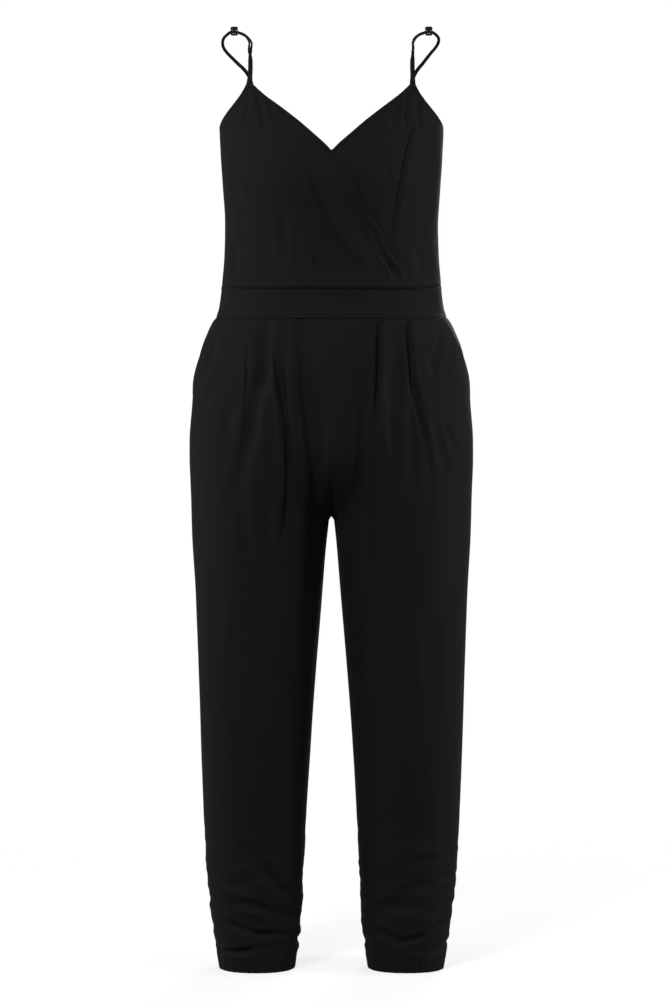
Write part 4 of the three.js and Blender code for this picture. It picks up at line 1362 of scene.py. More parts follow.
@dataclass(frozen=True)
class TrouserLeg:
    """One leg of the trousers: pleated front, plain back and the side piece of its pocket.

    Attributes:
        fold: How far a pleat's fold runs over itself.
        fold_fade: Heights over which that ends.
        high: Height of a pleat outside its fold.
        low: Its depth inside the fold.
        pocket_sink: Share of the tuck's depth that the side piece has at the waistband.
        pocket_sewn: Distance of the stitches from the pocket mouth.
        per_degree: Length along the lower leg for one degree of turn.
        pleat_swell: Height of the fold itself, as a share of the pleat's depth.
        zone: Width of a fold.
        hem_rise: How far the turned hem stands out.
        seed: Start of the random draws of its slack.
    """

    side: Side
    pleats: tuple[PleatRow, ...]
    front_creases: tuple[Crease, ...]
    back_creases: tuple[Crease, ...]
    ankle: tuple[RingCrease, ...]
    fold: float
    fold_fade: tuple[float, float]
    high: float = 1.3
    low: float = 0.7
    pocket_top: float = 430.0
    pocket_foot: float = 571.0
    pocket_share: float = 0.225
    pocket_curve: float = 0.85
    pocket_underlap: float = 0.085
    pocket_drop: float = 3.0
    pocket_rise: float = 1.0
    pocket_sink: float = 1.1
    pocket_sewn: float = 6.5
    per_degree: float = 1.15
    pleat_swell: float = 0.41
    pleat_reach: float = 17.0
    soft_reach: float = 19.0
    soft_steep: float = 6.5
    zone: float = 6.0
    hem_rise: float = 0.8
    seed: int = 40

    def __post_init__(self) -> None:
        """Turns the pleat table into curves."""
        object.__setattr__(self, "_pleat", curves(self.pleats))

    def mouth(self, down: Array) -> Array:
        """Share at which the slanted pocket mouth cuts the front, 0 below its foot."""
        t = np.clip((self.pocket_foot - down) / (self.pocket_foot - self.pocket_top), 0.0, 1.0)
        return self.pocket_share * t**self.pocket_curve

    def level(self, face: Face, share: Array, down: Array) -> Array:
        """Heights bent up or down at the top so that the first row follows the waist seam."""
        angle = 90.0 * (1.0 - share) if face is Face.FRONT else 90.0 + 90.0 * share
        rise = BODY.waist_low.down(angle) - BODY.waist_low.side
        if face is Face.FRONT:
            return down + rise * (1.0 - smooth(down, BODY.waist_low.side, 560.0))
        start = BODY.waist_low.side - WAIST_TUCK
        return down + rise * (1.0 - np.clip((down - start) / (470.0 - start), 0.0, 1.0))

    def rows(self, count: int) -> Array:
        """Heights of the grid's rows, closer at the waist seam, the ankle and the hem."""
        start = BODY.waist_low.side - WAIST_TUCK
        places = Curve.through([0.0, 0.025, 0.07, 0.3, 0.37, 0.5, 0.7, 0.96, 1.0],
                               [start, start + 6.4, 462.0, 705.0, 770.0, 945.0, 1230.0, 1434.0, HEM])
        return places(np.linspace(0.0, 1.0, count))[:, None]

    def runs_under(self, face: Face, down: Array) -> Array:
        """1 where the edge at the centre seam or inseam runs on under its neighbour, else 0.

        The left back's edge lies under the right one's down to the seat, and below the crotch
        the back's edge lies under the front's. The edges only meet in front and at the crotch.
        """
        if face is Face.FRONT:
            return np.zeros_like(down)
        seat = 1.0 - smooth(down, 640.0, 680.0)
        return smooth(down, CROTCH + 30.0, CROTCH + 60.0) + (seat if self.side is Side.LEFT else 0.0)

    def inner_end(self, face: Face, down: Array) -> Array:
        """Distance of the edge inside the centre seam or inseam; negative runs past it."""
        gap = mix(0.0, GAP / 2.0, smooth(down, CROTCH + 5.0, CROTCH + 40.0))
        return mix(gap, -TUCK, self.runs_under(face, down))

    def inner_edge(self, face: Face, distance: Array, down: Array) -> Array:
        """How deep the cloth lies beside the centre seam, not at all, or the inseam."""
        seam = 0.6 * smooth(down, CROTCH + 20.0, CROTCH + 60.0)
        return mix(seam * rolled(distance), tucked(distance), self.runs_under(face, down))

    def crotch(self, distance: Array, down: Array) -> Array:
        """Share of the relief that is kept: none at the centre seam, down to the crotch."""
        return 1.0 - (1.0 - smooth(down, 775.0, 820.0)) * (1.0 - smooth(distance, 0.0, 15.0))

    def pleat_rise(self, aside: Array, depth: Array) -> Array:
        """A knife pleat beside its fold: high on the outer side, low on the inner, fading away."""
        fade = np.exp(-np.abs(aside) / self.pleat_reach)
        return depth * 0.5 * np.tanh(aside / 1.5) * fade * np.where(aside > 0.0, self.high, self.low)

    def slack_fold(self, aside: Array) -> Array:
        """Depth of the slack fold beside its line: steep on the outer side, long on the inner."""
        return np.where(aside > 0.0, bell(aside / self.soft_steep), bell(aside / self.soft_reach))

    def front_grid(self, down: Array) -> tuple[Array, dict[str, tuple[slice, Array]]]:
        """Shares of the front's columns, with the columns of each pleat's fold.

        Between its two ends a fold runs forward over itself and back: the place aside of the
        fold is zone * (1/2 - t) - overlap * sin(2 pi t), so the cloth lies in three layers.

        Args:
            down: (rows, 1) heights.

        Returns:
            The shares, and for each pleat its columns and their t.
        """
        face = Face.FRONT
        start = np.maximum(self.mouth(down), LEG.end_share(face, 0.0, down))
        end = LEG.end_share(face, 1.0, down, self.inner_end(face, down))
        t = np.linspace(0.0, 1.0, 19)[None, :]
        zones = {}
        for name in ("outer", "inner"):
            place = self._pleat[name](down)
            depth = self._pleat[f"{name}_depth"](down)
            overlap = self.fold * (1.0 - smooth(down, *self.fold_fade)) * smooth(down, 441.0, 456.0)
            overlap = overlap * np.clip((depth - 1.5) / 3.5, 0.0, 1.1)
            aside = self.zone * (0.5 - t) - overlap * np.sin(2.0 * np.pi * t)
            zones[name] = LEG.share_at(face, place + aside, down)
        outer, inner = zones["outer"], zones["inner"]
        eased = 1.0 - np.cos(np.linspace(0, np.pi / 2, 34))
        near = mix(np.linspace(0, 1, 34), eased, 0.6)[None, 1:-1]
        a = mix(start, outer[:, :1], near)
        b = mix(outer[:, -1:], inner[:, :1], np.linspace(0, 1, 24)[None, 1:-1])
        c = mix(inner[:, -1:], end, crowded(38, 0.75)[None, 1:])
        share = np.concatenate([start, a, outer, b, inner, c], axis=1)
        first = 1 + a.shape[1]
        second = first + t.size + b.shape[1]
        t = np.broadcast_to(t, outer.shape)
        return share, {"outer": (slice(first, first + t.shape[1]), t),
                       "inner": (slice(second, second + t.shape[1]), t)}

    def shared(self, share: Array, down: Array, face: Face) -> Array:
        """Relief that runs on round the leg: slack, ankle wrinkles and the turned hem."""
        turn = 180.0 * share * face.value
        parts = (Slack(22, 190.0, 0.7, self.seed), Slack(46, 70.0, 0.3, self.seed + 1))
        slack = slackened(parts, turn, down)
        low = smooth(down, 1180.0, 1330.0) * (1.0 - smooth(down, HEM - HEM_TURN - 12.0, HEM - 4.0))
        rumple = Slack(9, 13.0, 1.5, self.seed + 2)(turn + 0.5 * down, down)
        rumple = rumple + Slack(14, 8.0, 0.9, self.seed + 3)(turn - 0.8 * down, down)
        wrinkles = np.zeros(np.broadcast(turn, down).shape)
        for c in self.ankle:
            middle = (c.turn0 + c.turn1) / 2.0
            near = np.mod(turn - middle + 180.0, 360.0) - 180.0
            half = (c.turn1 - c.turn0) / 2.0 * self.per_degree
            line = Crease(-half, c.down0, half, c.down1, c.bow, c.depth, c.reach)
            wrinkles += trough([line], near * self.per_degree, down)
        wrinkles *= 0.6 + 1.0 * np.sin(np.radians(turn)) ** 2
        calm = smooth(down, 441.0, 500.0)
        hem = self.turned(down)
        for line in HEM_LINES:
            hem = hem - 0.32 * bell((down - line) / 0.9)
        wave = np.sin(turn * 0.42 + 1.3 * np.sin(turn * 0.09))
        pucker = 0.28 * wave * smooth(down, HEM - 34.0, HEM - 20.0)
        return slack * calm + rumple * low - wrinkles + hem + pucker

    def turned(self, down: Array) -> Array:
        """What the turned hem adds to the cloth's thickness."""
        return self.hem_rise * smooth(down, HEM - HEM_TURN - 4.0, HEM - HEM_TURN + 1.0)

    def place(self, face: Face, share: Array, down: Array, out: Array) -> tuple[Array, Array]:
        """Points moved out from the form, level at the hem, and the form's normals."""
        point, normal = LEG.point(face, share, down), LEG.normal(face, share, down)
        full = np.ones_like(down)
        normal = normal * np.stack([full, full, smooth(HEM - down, 0.0, 6.0)], axis=-1)
        moved = mirrored(point + normal * out[..., None], self.side)
        return moved, mirrored(normal, self.side)

    def front(self, wardrobe: Wardrobe) -> None:
        """Makes the pleated front with the stitching of its pocket edge."""
        blank = self.rows(318)
        share, zones = self.front_grid(blank)
        down = self.level(Face.FRONT, share, blank)
        point = LEG.point(Face.FRONT, share, down)
        x = point[..., 0]
        edge = borders(point)
        out = self.shared(share, down, Face.FRONT) - trough(self.front_creases, x, down)
        for name, (columns, t) in zones.items():
            depth = self._pleat[f"{name}_depth"](down)
            rise = self.pleat_rise(x - self._pleat[name](down), depth)
            folded = 0.5 * (self.high - self.low) + 0.5 * (self.high + self.low) * np.cos(np.pi * t)
            rise[:, columns] = depth[:, columns] * self.pleat_swell * folded
            out += rise * smooth(edge.top, -4.0, 16.0)
        out -= self._pleat["soft_depth"](down) * self.slack_fold(x - self._pleat["soft"](down))
        mouth = self.mouth(blank)
        beside = 1.0 - smooth(share - mouth, 0.0, 0.12)
        above_foot = 1.0 - smooth(down, self.pocket_foot - 30.0, self.pocket_foot - 6.0)
        out += self.pocket_rise * beside * above_foot
        open_mouth = 1.0 - smooth(down, self.pocket_foot - 10.0, self.pocket_foot)
        out *= self.crotch(edge.last, down) * smooth(edge.top, -2.0, 9.0)
        out -= rolled(edge.first) * (1.0 - open_mouth) + self.inner_edge(Face.FRONT, edge.last, down)
        sewn = 0.3 * bell((edge.first - self.pocket_sewn) / 0.9)
        out += open_mouth * (0.5 * bell((edge.first - 3.0) / 2.5) - sewn)
        out -= WAIST_SINK * tucked(edge.top, WAIST_TUCK)
        outer, normal = self.place(Face.FRONT, share, down, out)
        word = self.side.word
        node = f"trouser_front_{word}"
        panel = cloth(f"{node}_cloth", outer, normal, CLOTH + self.turned(down))
        wardrobe.dress(panel, "jersey", [node])
        self.sew_pocket(wardrobe, outer, normal, edge.first, blank)
        self.sew_hem(wardrobe, node, outer, normal, down)

    def sew_pocket(self, wardrobe: Wardrobe, outer: Array, normal: Array, inside: Array,
                   blank: Array) -> None:
        """Sews one row of stitches beside the pocket mouth."""
        height = blank[:, 0]
        rows = np.flatnonzero((height > BODY.waist_low.side + 3.0) & (height < self.pocket_foot - 4.0))
        column = np.argmin(np.abs(inside[rows] - self.pocket_sewn), axis=1)
        path, up = outer[rows, column], normal[rows, column]
        name = f"pocket_edge_{self.side.word}_stitches"
        wardrobe.sew(name, "jersey", path, up, POCKET_STITCHES)

    def sew_hem(self, wardrobe: Wardrobe, node: str, outer: Array, normal: Array, down: Array) -> None:
        """Sews the two rows of stitches that hold the turned hem."""
        for number, height in enumerate(HEM_LINES, start=1):
            at = int(np.argmin(np.abs(down[:, 0] - height)))
            name = f"{node}_hem_stitches_{number}"
            wardrobe.sew(name, "jersey", outer[at], normal[at], HEM_STITCHES)

    def back(self, wardrobe: Wardrobe) -> None:
        """Makes the plain back."""
        blank = self.rows(300)
        start = LEG.end_share(Face.BACK, 0.0, blank, -TUCK)
        end = LEG.end_share(Face.BACK, 1.0, blank, self.inner_end(Face.BACK, blank))
        share = mix(start, end, crowded(96, 0.75)[None, :])
        down = self.level(Face.BACK, share, blank)
        point = LEG.point(Face.BACK, share, down)
        edge = borders(point)
        out = self.shared(share, down, Face.BACK) - trough(self.back_creases, point[..., 0], down)
        out *= self.crotch(edge.last, down)
        deep = np.maximum(tucked(edge.first), WAIST_SINK * tucked(edge.top, WAIST_TUCK))
        out -= np.maximum(deep, self.inner_edge(Face.BACK, edge.last, down))
        outer, normal = self.place(Face.BACK, share, down, out)
        node = f"trouser_back_{self.side.word}"
        panel = cloth(f"{node}_cloth", outer, normal, CLOTH + self.turned(down))
        wardrobe.dress(panel, "jersey", [node])
        self.sew_hem(wardrobe, node, outer, normal, down)

    def pocket(self, wardrobe: Wardrobe) -> None:
        """Makes the side piece that shows in the pocket mouth and runs on under the front."""
        blank = mix(BODY.waist_low.side - WAIST_TUCK, self.pocket_foot + 3.0, crowded(90, 0.7))[:, None]
        start = LEG.end_share(Face.FRONT, 0.0, blank)
        share = mix(start, self.mouth(blank) + self.pocket_underlap, np.linspace(0.0, 1.0, 40)[None, :])
        down = self.level(Face.FRONT, share, blank)
        under = smooth(share / (self.mouth(blank) * 0.9 + 0.01), 0.0, 1.0)
        foot = smooth(down, self.pocket_foot - 30.0, self.pocket_foot - 12.0)
        edge = borders(LEG.point(Face.FRONT, share, down))
        slack = Slack(70, 26.0, 0.35, self.seed + 7)(180.0 * share, down) * smooth(edge.first, 0.0, 10.0)
        out = -self.pocket_drop * np.maximum(under, foot) + slack
        out -= rolled(edge.first) + self.pocket_sink * tucked(edge.top, WAIST_TUCK)
        outer, normal = self.place(Face.FRONT, share, down, out)
        node = f"pocket_side_{self.side.word}"
        panel = wardrobe.dress(cloth(f"{node}_cloth", outer, normal), "jersey", [node])

    def build(self, wardrobe: Wardrobe) -> None:
        """Makes all of the leg's pieces."""
        self.front(wardrobe)
        self.back(wardrobe)
        self.pocket(wardrobe)


class RoundedBox(NamedTuple):
    """A rectangle from its low corner, with rounded corners."""

    x: float
    y: float
    width: float
    height: float
    radius: float

    def outline(self, steps: int = 9) -> Array:
        """Points round the rectangle, an arc at each corner."""
        turn = np.linspace(0.0, np.pi / 2.0, steps)[None, :] + (np.arange(4) * np.pi / 2.0)[:, None]
        x = np.array([1.0, 0.0, 0.0, 1.0])[:, None] * (self.width - 2.0 * self.radius)
        y = np.array([1.0, 1.0, 0.0, 0.0])[:, None] * (self.height - 2.0 * self.radius)
        x = self.x + self.radius * (1.0 + np.cos(turn)) + x
        y = self.y + self.radius * (1.0 + np.sin(turn)) + y
        return np.stack([x.ravel(), y.ravel()], axis=-1)


def moulded_plate(name: str, plate: RoundedBox, slots: Sequence[RoundedBox], thick: float,
                  middle: tuple[float, float, float], bevel: float = 0.35) -> bpy.types.Object:
    """An upright plate with slots and rounded edges, from a filled outline given thickness.

    Args:
        name: Name of the piece.
        plate: The outline.
        slots: The holes in it.
        thick: Thickness, front to back.
        middle: Where the outline's origin lies.
        bevel: Radius of the rounded edges.

    Returns:
        The piece.
    """
    curve = bpy.data.curves.new(name, "CURVE")
    curve.dimensions = "2D"
    curve.fill_mode = "BOTH"
    curve.extrude = thick / 2.0 - bevel
    curve.bevel_depth = bevel
    curve.bevel_resolution = 3
    curve.offset = -bevel
    for shape in (plate, *slots):
        points = shape.outline()
        spline_points = curve.splines.new("POLY")
        spline_points.points.add(len(points) - 1)
        flat = np.concatenate([points, np.zeros((len(points), 1)), np.ones((len(points), 1))], axis=1)
        spline_points.points.foreach_set("co", flat.astype(np.float32).ravel())
        spline_points.use_cyclic_u = True
    holder = bpy.data.objects.new(name, curve)
    bpy.context.scene.collection.objects.link(holder)
    graph = bpy.context.evaluated_depsgraph_get()
    made = bpy.data.meshes.new_from_object(holder.evaluated_get(graph))
    bpy.data.objects.remove(holder)
    bpy.data.curves.remove(curve)
    cleaned = bmesh.new()
    cleaned.from_mesh(made)
    bmesh.ops.remove_doubles(cleaned, verts=cleaned.verts, dist=1e-3)
    bmesh.ops.recalc_face_normals(cleaned, faces=cleaned.faces)
    cleaned.to_mesh(made)
    cleaned.free()
    flat = np.empty(len(made.vertices) * 3, dtype=np.float32)
    made.vertices.foreach_get("co", flat)
    x, up, out = flat.reshape(-1, 3).T
    placed = (np.stack([x, -out, up], axis=-1) + np.array(middle)) * MM
    made.vertices.foreach_set("co", placed.astype(np.float32).ravel())
    made.name = name
    return put_in_scene(name, made, 35.0)


class EyeRow(NamedTuple):
    """One station of the tab's eye: how far below its fold, and half its opening."""

    drop: float
    apart: float


class TurnRow(NamedTuple):
    """One station of the strap's turn through the eye."""

    aside: float
    drop: float


class WeaveRow(NamedTuple):
    """One station of the strap's way through the adjuster."""

    along: float
    back: float


class RouteRow(NamedTuple):
    """A point of the strap over the shoulder; nearer is how far the left one lies inwards."""

    x: float
    y: float
    z: float
    nearer: float


DEPTH = np.array([0.0, 1.0, 0.0])
UP = np.array([0.0, 0.0, 1.0])


@dataclass(frozen=True)
class Strap:
    """One shoulder strap with its front tab and its adjuster, on the wearer's left and mirrored."""

    side: Side
    front: BodiceFront
    tab_width: float = 7.0
    tab_neck: float = 4.6
    tab_flare: float = 2.6
    tab_angle: float = 63.6
    tab_foot: float = 106.0
    tab_head: float = 94.0
    tab_seat: float = 1.5
    tab_apart: float = 0.8
    tab_steps: int = 600
    tab_rows: int = 13
    wall: float = 1.6
    thick: float = 1.0
    width: float = 4.4
    pinch: float = 2.2
    gathered: float = 2.2
    spread: float = 2.1
    open_spread: float = 2.2
    pair: float = 1.5
    eye_lean: float = 0.25
    tab_top: tuple[float, float, float] = (124.6, -44.0, -39.5)
    tab_route: tuple[tuple[float, float, float, float], ...] = (
        (124, -55.4, -78, 1.0), (123.7, -49.6, -58, 0.5),
    )
    eye: tuple[EyeRow, ...] = rows_of(
        EyeRow, (8, 0.8), (6, 1.2), (4.4, 1.9), (3, 2.3), (1.6, 2.1), (0.6, 1.5), (0.1, 0.7), (0, 0),
    )
    turn: tuple[TurnRow, ...] = rows_of(
        TurnRow, (-1.0, 0.4), (-0.95, 1.3), (-0.6, 1.7), (0, 1.9), (0.6, 1.7), (0.95, 1.3), (1.0, 0.4),
    )
    double_route: tuple[tuple[float, float, float], ...] = (
        (126.3, -40, -33), (126.2, -32, -24.5), (128.4, -20, -15.5), (132.6, -9, -8.2),
        (138.6, -2, -3.2),
    )
    single_route: tuple[RouteRow, ...] = rows_of(
        RouteRow, (162.5, 5, -3.6, 0), (167.8, 12, -7.6, 1.2), (169.8, 20, -13, 3.6),
        (168.5, 29, -19, 6.6), (163, 38, -25.3, 7.6), (155.6, 48, -31.3, 6.2), (147.4, 58, -37.7, 4.1),
        (139.1, 68, -43.9, 2.3), (132.4, 76, -51.4, 1), (128.6, 79, -60, 0.3), (122, 79.5, -90, 0),
        (114, 79, -122, 0),
    )
    end_angle: float = 127.5
    end_head: float = 146.0
    end_foot: float = 168.0
    end_seat: float = 0.6
    slider_x: float = 150.8
    slider_along: float = 11.4
    slider_across: float = 14.0
    slider_low: float = 5.6
    slider_thick: float = 1.8
    slider_rail: float = 1.4
    slider_slot: float = 3.4
    slider_open: float = 5.0
    slider_corner: float = 2.4
    weave: tuple[WeaveRow, ...] = rows_of(
        WeaveRow, (-5.7, 1.8), (-4.4, 1.75), (-3.6, 1.6), (-2.6, 0), (-1.6, -1.6), (-0.8, -1.75),
        (0.8, -1.75), (1.6, -1.6), (2.6, 0), (3.6, 1.6), (4.4, 1.75), (5.7, 1.8),
    )

    def tab(self) -> Ring:
        """Stations of the folded tab: up its front, over the eye and down its back."""
        at = np.array([[self.tab_foot], [self.tab_head]])
        here = BODY.point(np.array(self.tab_angle), np.array(self.tab_foot))
        angle = np.array(self.side.value * self.tab_angle)
        layer = float(self.front.offset(angle, np.array(self.tab_foot), here[0] * self.side.value))
        under = layer - self.wall - GAP - self.tab_seat
        normal = BODY.normal(np.array(self.tab_angle), np.array(self.tab_foot))
        foot = BODY.point(np.full(at.shape, self.tab_angle), at)[:, 0] + normal * under
        route = [np.array(p[:3]) + DEPTH * (self.front.lift - layer) * p[3] for p in self.tab_route]
        fine = spline([*foot, *route, np.array(self.tab_top)], self.tab_steps)
        length = float(run_lengths(fine[None], 1)[0, -1])
        plain = self.tab_rows
        drops = np.linspace(length, self.eye[0].drop, plain + 1)[:-1]
        rows = [*(EyeRow(drop, self.tab_apart) for drop in drops), *self.eye]
        at = np.concatenate([np.linspace(0, plain, 60), np.linspace(plain, len(rows) - 1, 50)[1:]])
        drop, apart = between_rows(rows, at)
        drop, apart = np.r_[drop, drop[-2::-1]], np.r_[apart, -apart[-2::-1]]
        share, places = 1.0 - drop / length, np.linspace(0.0, 1.0, self.tab_steps)
        middle = looked_up(share, places, fine)
        along = unit(looked_up(share, places, np.gradient(fine, axis=0)))
        facing = mix(normal[None], -DEPTH[None], smooth(share, 0.15, 0.8)[:, None])
        wide = unit(np.cross(along, facing))
        out = unit(np.cross(wide, along))
        width = mix(self.tab_neck, self.tab_width, smooth(drop, 3.0, 16.0))
        width = width + self.tab_flare * smooth(drop, 38.0, 58.0)
        return Ring(middle + out * apart[:, None], wide, width, np.full(len(width), self.thick))

    def strand(self, t: Array, other: bool) -> Ring:
        """Stations of one of the two strands between the tab's eye and the adjuster.

        The strands lie side by side at the eye and one behind the other at the adjuster, so
        the direction from one to the other turns by a quarter on the way.

        Args:
            t: Places from the eye, 0, to the adjuster, 1.
            other: Whether it is the second strand.

        Returns:
            The stations.
        """
        top = np.array(self.tab_top)
        rise = top + np.array([self.spread / 2.0, self.eye_lean * 1.5, 1.5])
        enter = np.array([self.slider_x - self.slider_along / 2.0 - 1.2, 1.7, -0.8])
        fine = spline([rise, *self.double_route, enter], 400)
        at = np.linspace(0.0, 1.0, len(fine))
        along = unit(looked_up(t, at, np.gradient(fine, axis=0)))
        flat = unit(np.cross(along, DEPTH))
        deep = unit(np.cross(flat, along))
        twist = (np.pi / 2.0) * smooth(t, 0.05, 0.95)[:, None]
        apart = flat * np.cos(twist) + deep * np.sin(twist)
        wide = flat * np.sin(twist) - deep * np.cos(twist)
        middle = looked_up(t, at, fine)
        if other:
            opened = mix(self.spread, self.open_spread, smooth(t, 0.04, 0.24))
            middle = middle + apart * mix(opened, self.pair, smooth(t, 0.3, 0.72))[:, None]
        width = mix(self.pinch, self.width, smooth(t, 0.1, 0.5))
        return Ring(middle, wide, width, mix(self.gathered, self.thick, smooth(t, 0.1, 0.6)))

    def loop(self) -> Ring:
        """Stations of the whole strap: its sewn end, the eye, both strands, adjuster and back."""
        t = np.linspace(0.0, 1.0, 70)
        first, second = self.strand(t[-2::-1], True), self.strand(t, False)
        top = np.array(self.tab_top)
        aside, drop = between_rows(self.turn, np.linspace(0.0, len(self.turn) - 1, 25))
        turning = top + np.stack([aside * self.spread / 2.0, -self.eye_lean * drop, -drop], axis=-1)
        turn = even_ring(turning, -DEPTH, self.pinch, self.gathered)
        along, back = between_rows(self.weave, np.linspace(0.0, len(self.weave) - 1, 60))
        through = np.stack([self.slider_x + along, back, np.zeros(len(along))], axis=-1)
        weave = even_ring(through, UP, self.width, self.thick)
        rings = [first, turn, second, weave, self.over()]
        joined = (np.concatenate([getattr(r, part) for r in rings]) for part in Ring._fields)
        return Ring(*joined)

    def over(self) -> Ring:
        """Stations from the adjuster over the shoulder to the sewn end inside the back."""
        rail = self.slider_along / 2.0
        normal = BODY.normal(np.array(self.end_angle), np.array(self.end_foot))
        under = -self.wall - GAP - self.thick / 2.0 - self.end_seat
        downs = np.array([self.end_head, self.end_foot])
        end = BODY.point(np.full(2, self.end_angle), downs) + normal * under
        inward = 1.0 if self.side is Side.LEFT else 0.0
        route = [(row.x - inward * row.nearer, row.y, row.z) for row in self.single_route]
        leave = (self.slider_x + rail + 1.2, 1.9, -0.6)
        at = spline([leave, *route, *end], 260)
        along = unit(np.gradient(at, axis=0))
        flat = unit(np.cross(along, DEPTH))
        surface = unit(np.cross(UP, normal))
        surface = np.where(np.sum(flat * surface, axis=-1, keepdims=True) < 0.0, -surface, surface)
        share = np.linspace(0, 1, len(at))
        wide = unit(mix(flat, surface, smooth(share, 0.6, 0.85)[:, None]))
        width = mix(self.width + 0.4, self.width + 1.6, smooth(share, 0.1, 0.5))
        return Ring(at, wide, width, np.full(len(at), self.thick))

    def adjuster(self) -> bpy.types.Object:
        """The slide: a rounded plate with two slots, between which the strap is woven.

        Returns:
            The piece.
        """
        half = self.slider_along / 2.0
        plate = RoundedBox(-half, -self.slider_low, self.slider_along, self.slider_across,
                           self.slider_corner)
        size = (self.slider_slot, self.slider_open)
        slots = [RoundedBox(x, -self.slider_open / 2.0, *size, 0.6)
                 for x in (self.slider_rail - half, half - self.slider_rail - self.slider_slot)]
        name = f"strap_adjuster_{self.side.word}_slide"
        middle = (self.side.value * self.slider_x, 0.0, 0.0)
        return moulded_plate(name, plate, slots, self.slider_thick, middle)

    def build(self, wardrobe: Wardrobe) -> None:
        """Makes the tab, the strap and the adjuster."""
        word = self.side.word
        for kind, ring in (("strap_tab", self.tab()), ("strap", self.loop())):
            node = f"{kind}_{word}"
            ring = ring._replace(at=mirrored(ring.at, self.side), wide=mirrored(ring.wide, self.side))
            strip = wardrobe.dress(sweep(f"{node}_strip", ring), "edging", [node])
            float(np.mean(ring.width + ring.thick)) * 0.93
        node = f"strap_adjuster_{word}"
        wardrobe.dress(self.adjuster(), "adjuster", [node])


class Lamp(NamedTuple):
    """A soft box: power in watts, two sizes, place and aim in metres."""

    name: str
    power: float
    width: float
    height: float
    place: tuple[float, float, float]
    aim: tuple[float, float, float]


@dataclass(frozen=True)
class Studio:
    """Pale floor, soft light and a camera at the photograph's angle."""

    distance: float = 3.4
    eye_height: float = -0.7316
    eye_aside: float = 0.00698
    frame_height: float = 1.5624
    sensor: float = 36.0
    floor_size: float = 6.0
    backdrop: float = 1.0
    ambient: float = 0.2
    lamps: tuple[Lamp, ...] = (
        Lamp("key", 113.0, 0.8, 0.8, (-1.4, -2.6, 1.2), (0.0, 0.0, -0.5)),
        Lamp("fill", 25.0, 1.2, 1.2, (2.2, -2.4, 0.3), (0.0, 0.0, -0.7)),
        Lamp("side_right", 31.0, 0.8, 1.8, (-2.1, -0.1, -0.4), (0.0, 0.0, -0.7)),
        Lamp("side_left", 42.0, 0.8, 1.8, (2.1, -0.1, -0.4), (0.0, 0.0, -0.7)),
        Lamp("back", 75.0, 1.4, 1.4, (0.9, 2.7, 0.7), (0.0, 0.0, -0.7)),
    )

    def build(self) -> None:
        """Makes the camera, floor, world and lights."""
        scene = bpy.context.scene
        lens = bpy.data.cameras.new("camera")
        lens.sensor_width = self.sensor
        lens.lens = self.sensor * self.distance / self.frame_height
        lens.clip_end = 100.0
        camera = bpy.data.objects.new("camera", lens)
        camera.location = (self.eye_aside, -self.distance, self.eye_height)
        camera.rotation_euler = (math.pi / 2.0, 0.0, 0.0)
        scene.collection.objects.link(camera)
        scene.camera = camera
        scene.view_settings.view_transform = "Standard"
        scene.view_settings.look = "None"
        self.floor()
        self.surround()
        for lamp in self.lamps:
            self.hang(lamp)

    def floor(self) -> None:
        """Lays the floor just under the hems."""
        half = self.floor_size / 2.0 / MM
        grid = np.linspace(-half, half, 9)
        x, y = np.meshgrid(grid, grid)
        low = np.full(x.shape, -HEM - 0.2)
        points = np.stack([x, y, low], axis=-1).reshape(-1, 3)
        plane = make_mesh("floor", points, grid_quads(9, 9))
        plane.data.materials.append(FloorFinish().material())

    def surround(self) -> None:
        """Makes the even surround, white behind the object and dimmer where it lights it."""
        world = bpy.data.worlds.new("surround")
        world.use_nodes = True
        tree = world.node_tree
        path = tree.nodes.new("ShaderNodeLightPath")
        level = tree.nodes.new("ShaderNodeMapRange")
        level.inputs["To Min"].default_value = self.ambient
        level.inputs["To Max"].default_value = self.backdrop
        background = tree.nodes["Background"]
        background.inputs["Color"].default_value = (1.0, 1.0, 1.0, 1.0)
        tree.links.new(path.outputs["Is Camera Ray"], level.inputs["Value"])
        tree.links.new(level.outputs["Result"], background.inputs["Strength"])
        bpy.context.scene.world = world

    def hang(self, lamp: Lamp) -> None:
        """Hangs a soft box and turns it towards its aim."""
        data = bpy.data.lights.new(lamp.name, "AREA")
        data.shape = "RECTANGLE"
        data.energy, data.size, data.size_y = lamp.power, lamp.width, lamp.height
        light = bpy.data.objects.new(lamp.name, data)
        x, y, z = np.array(lamp.aim) - np.array(lamp.place)
        light.location = lamp.place
        light.rotation_euler = (math.atan2(math.hypot(x, y), -z), 0.0, math.atan2(-x, y))
        bpy.context.scene.collection.objects.link(light)


RIGHT_FRONT_CREASES = rows_of(
    Crease, (-38, 228, 52, 398, -7, 4.4, 4.4), (-46, 262, 38, 404, -6, 3.4, 12),
    (-26, 356, -6, 404, -2, 3.6, 4.4), (52, 306, 74, 350, 1, 2.6, 3.6),
    (70, 350, 112, 412, 2, 4.0, 4.6), (88, 366, 102, 410, -1, 3.0, 3.6), (98, 336, 119, 404, 2, 2.8, 4),
    (30, 358, 64, 412, 2, 2.8, 5), (-115, 104, -100, 172, 2, 2.0, 4),
    (-125, 106, -128, 172, -1, 1.5, 4), (-106, 102, -82, 160, 2, 1.0, 4.5),
    (-152, 222, -133, 328, 4, 2.0, 6), (-146, 300, -126, 356, 3, 2.0, 5),
    (-140, 330, -147, 392, -2, 2.6, 6), (-69, 280, -72, 392, 1, 1.6, 8),
    (-96, 318, -86, 400, 2, 1.4, 9), (-20, 300, 6, 352, -2, 1.8, 6), (4, 256, 66, 364, 4, 2.4, 9),
)
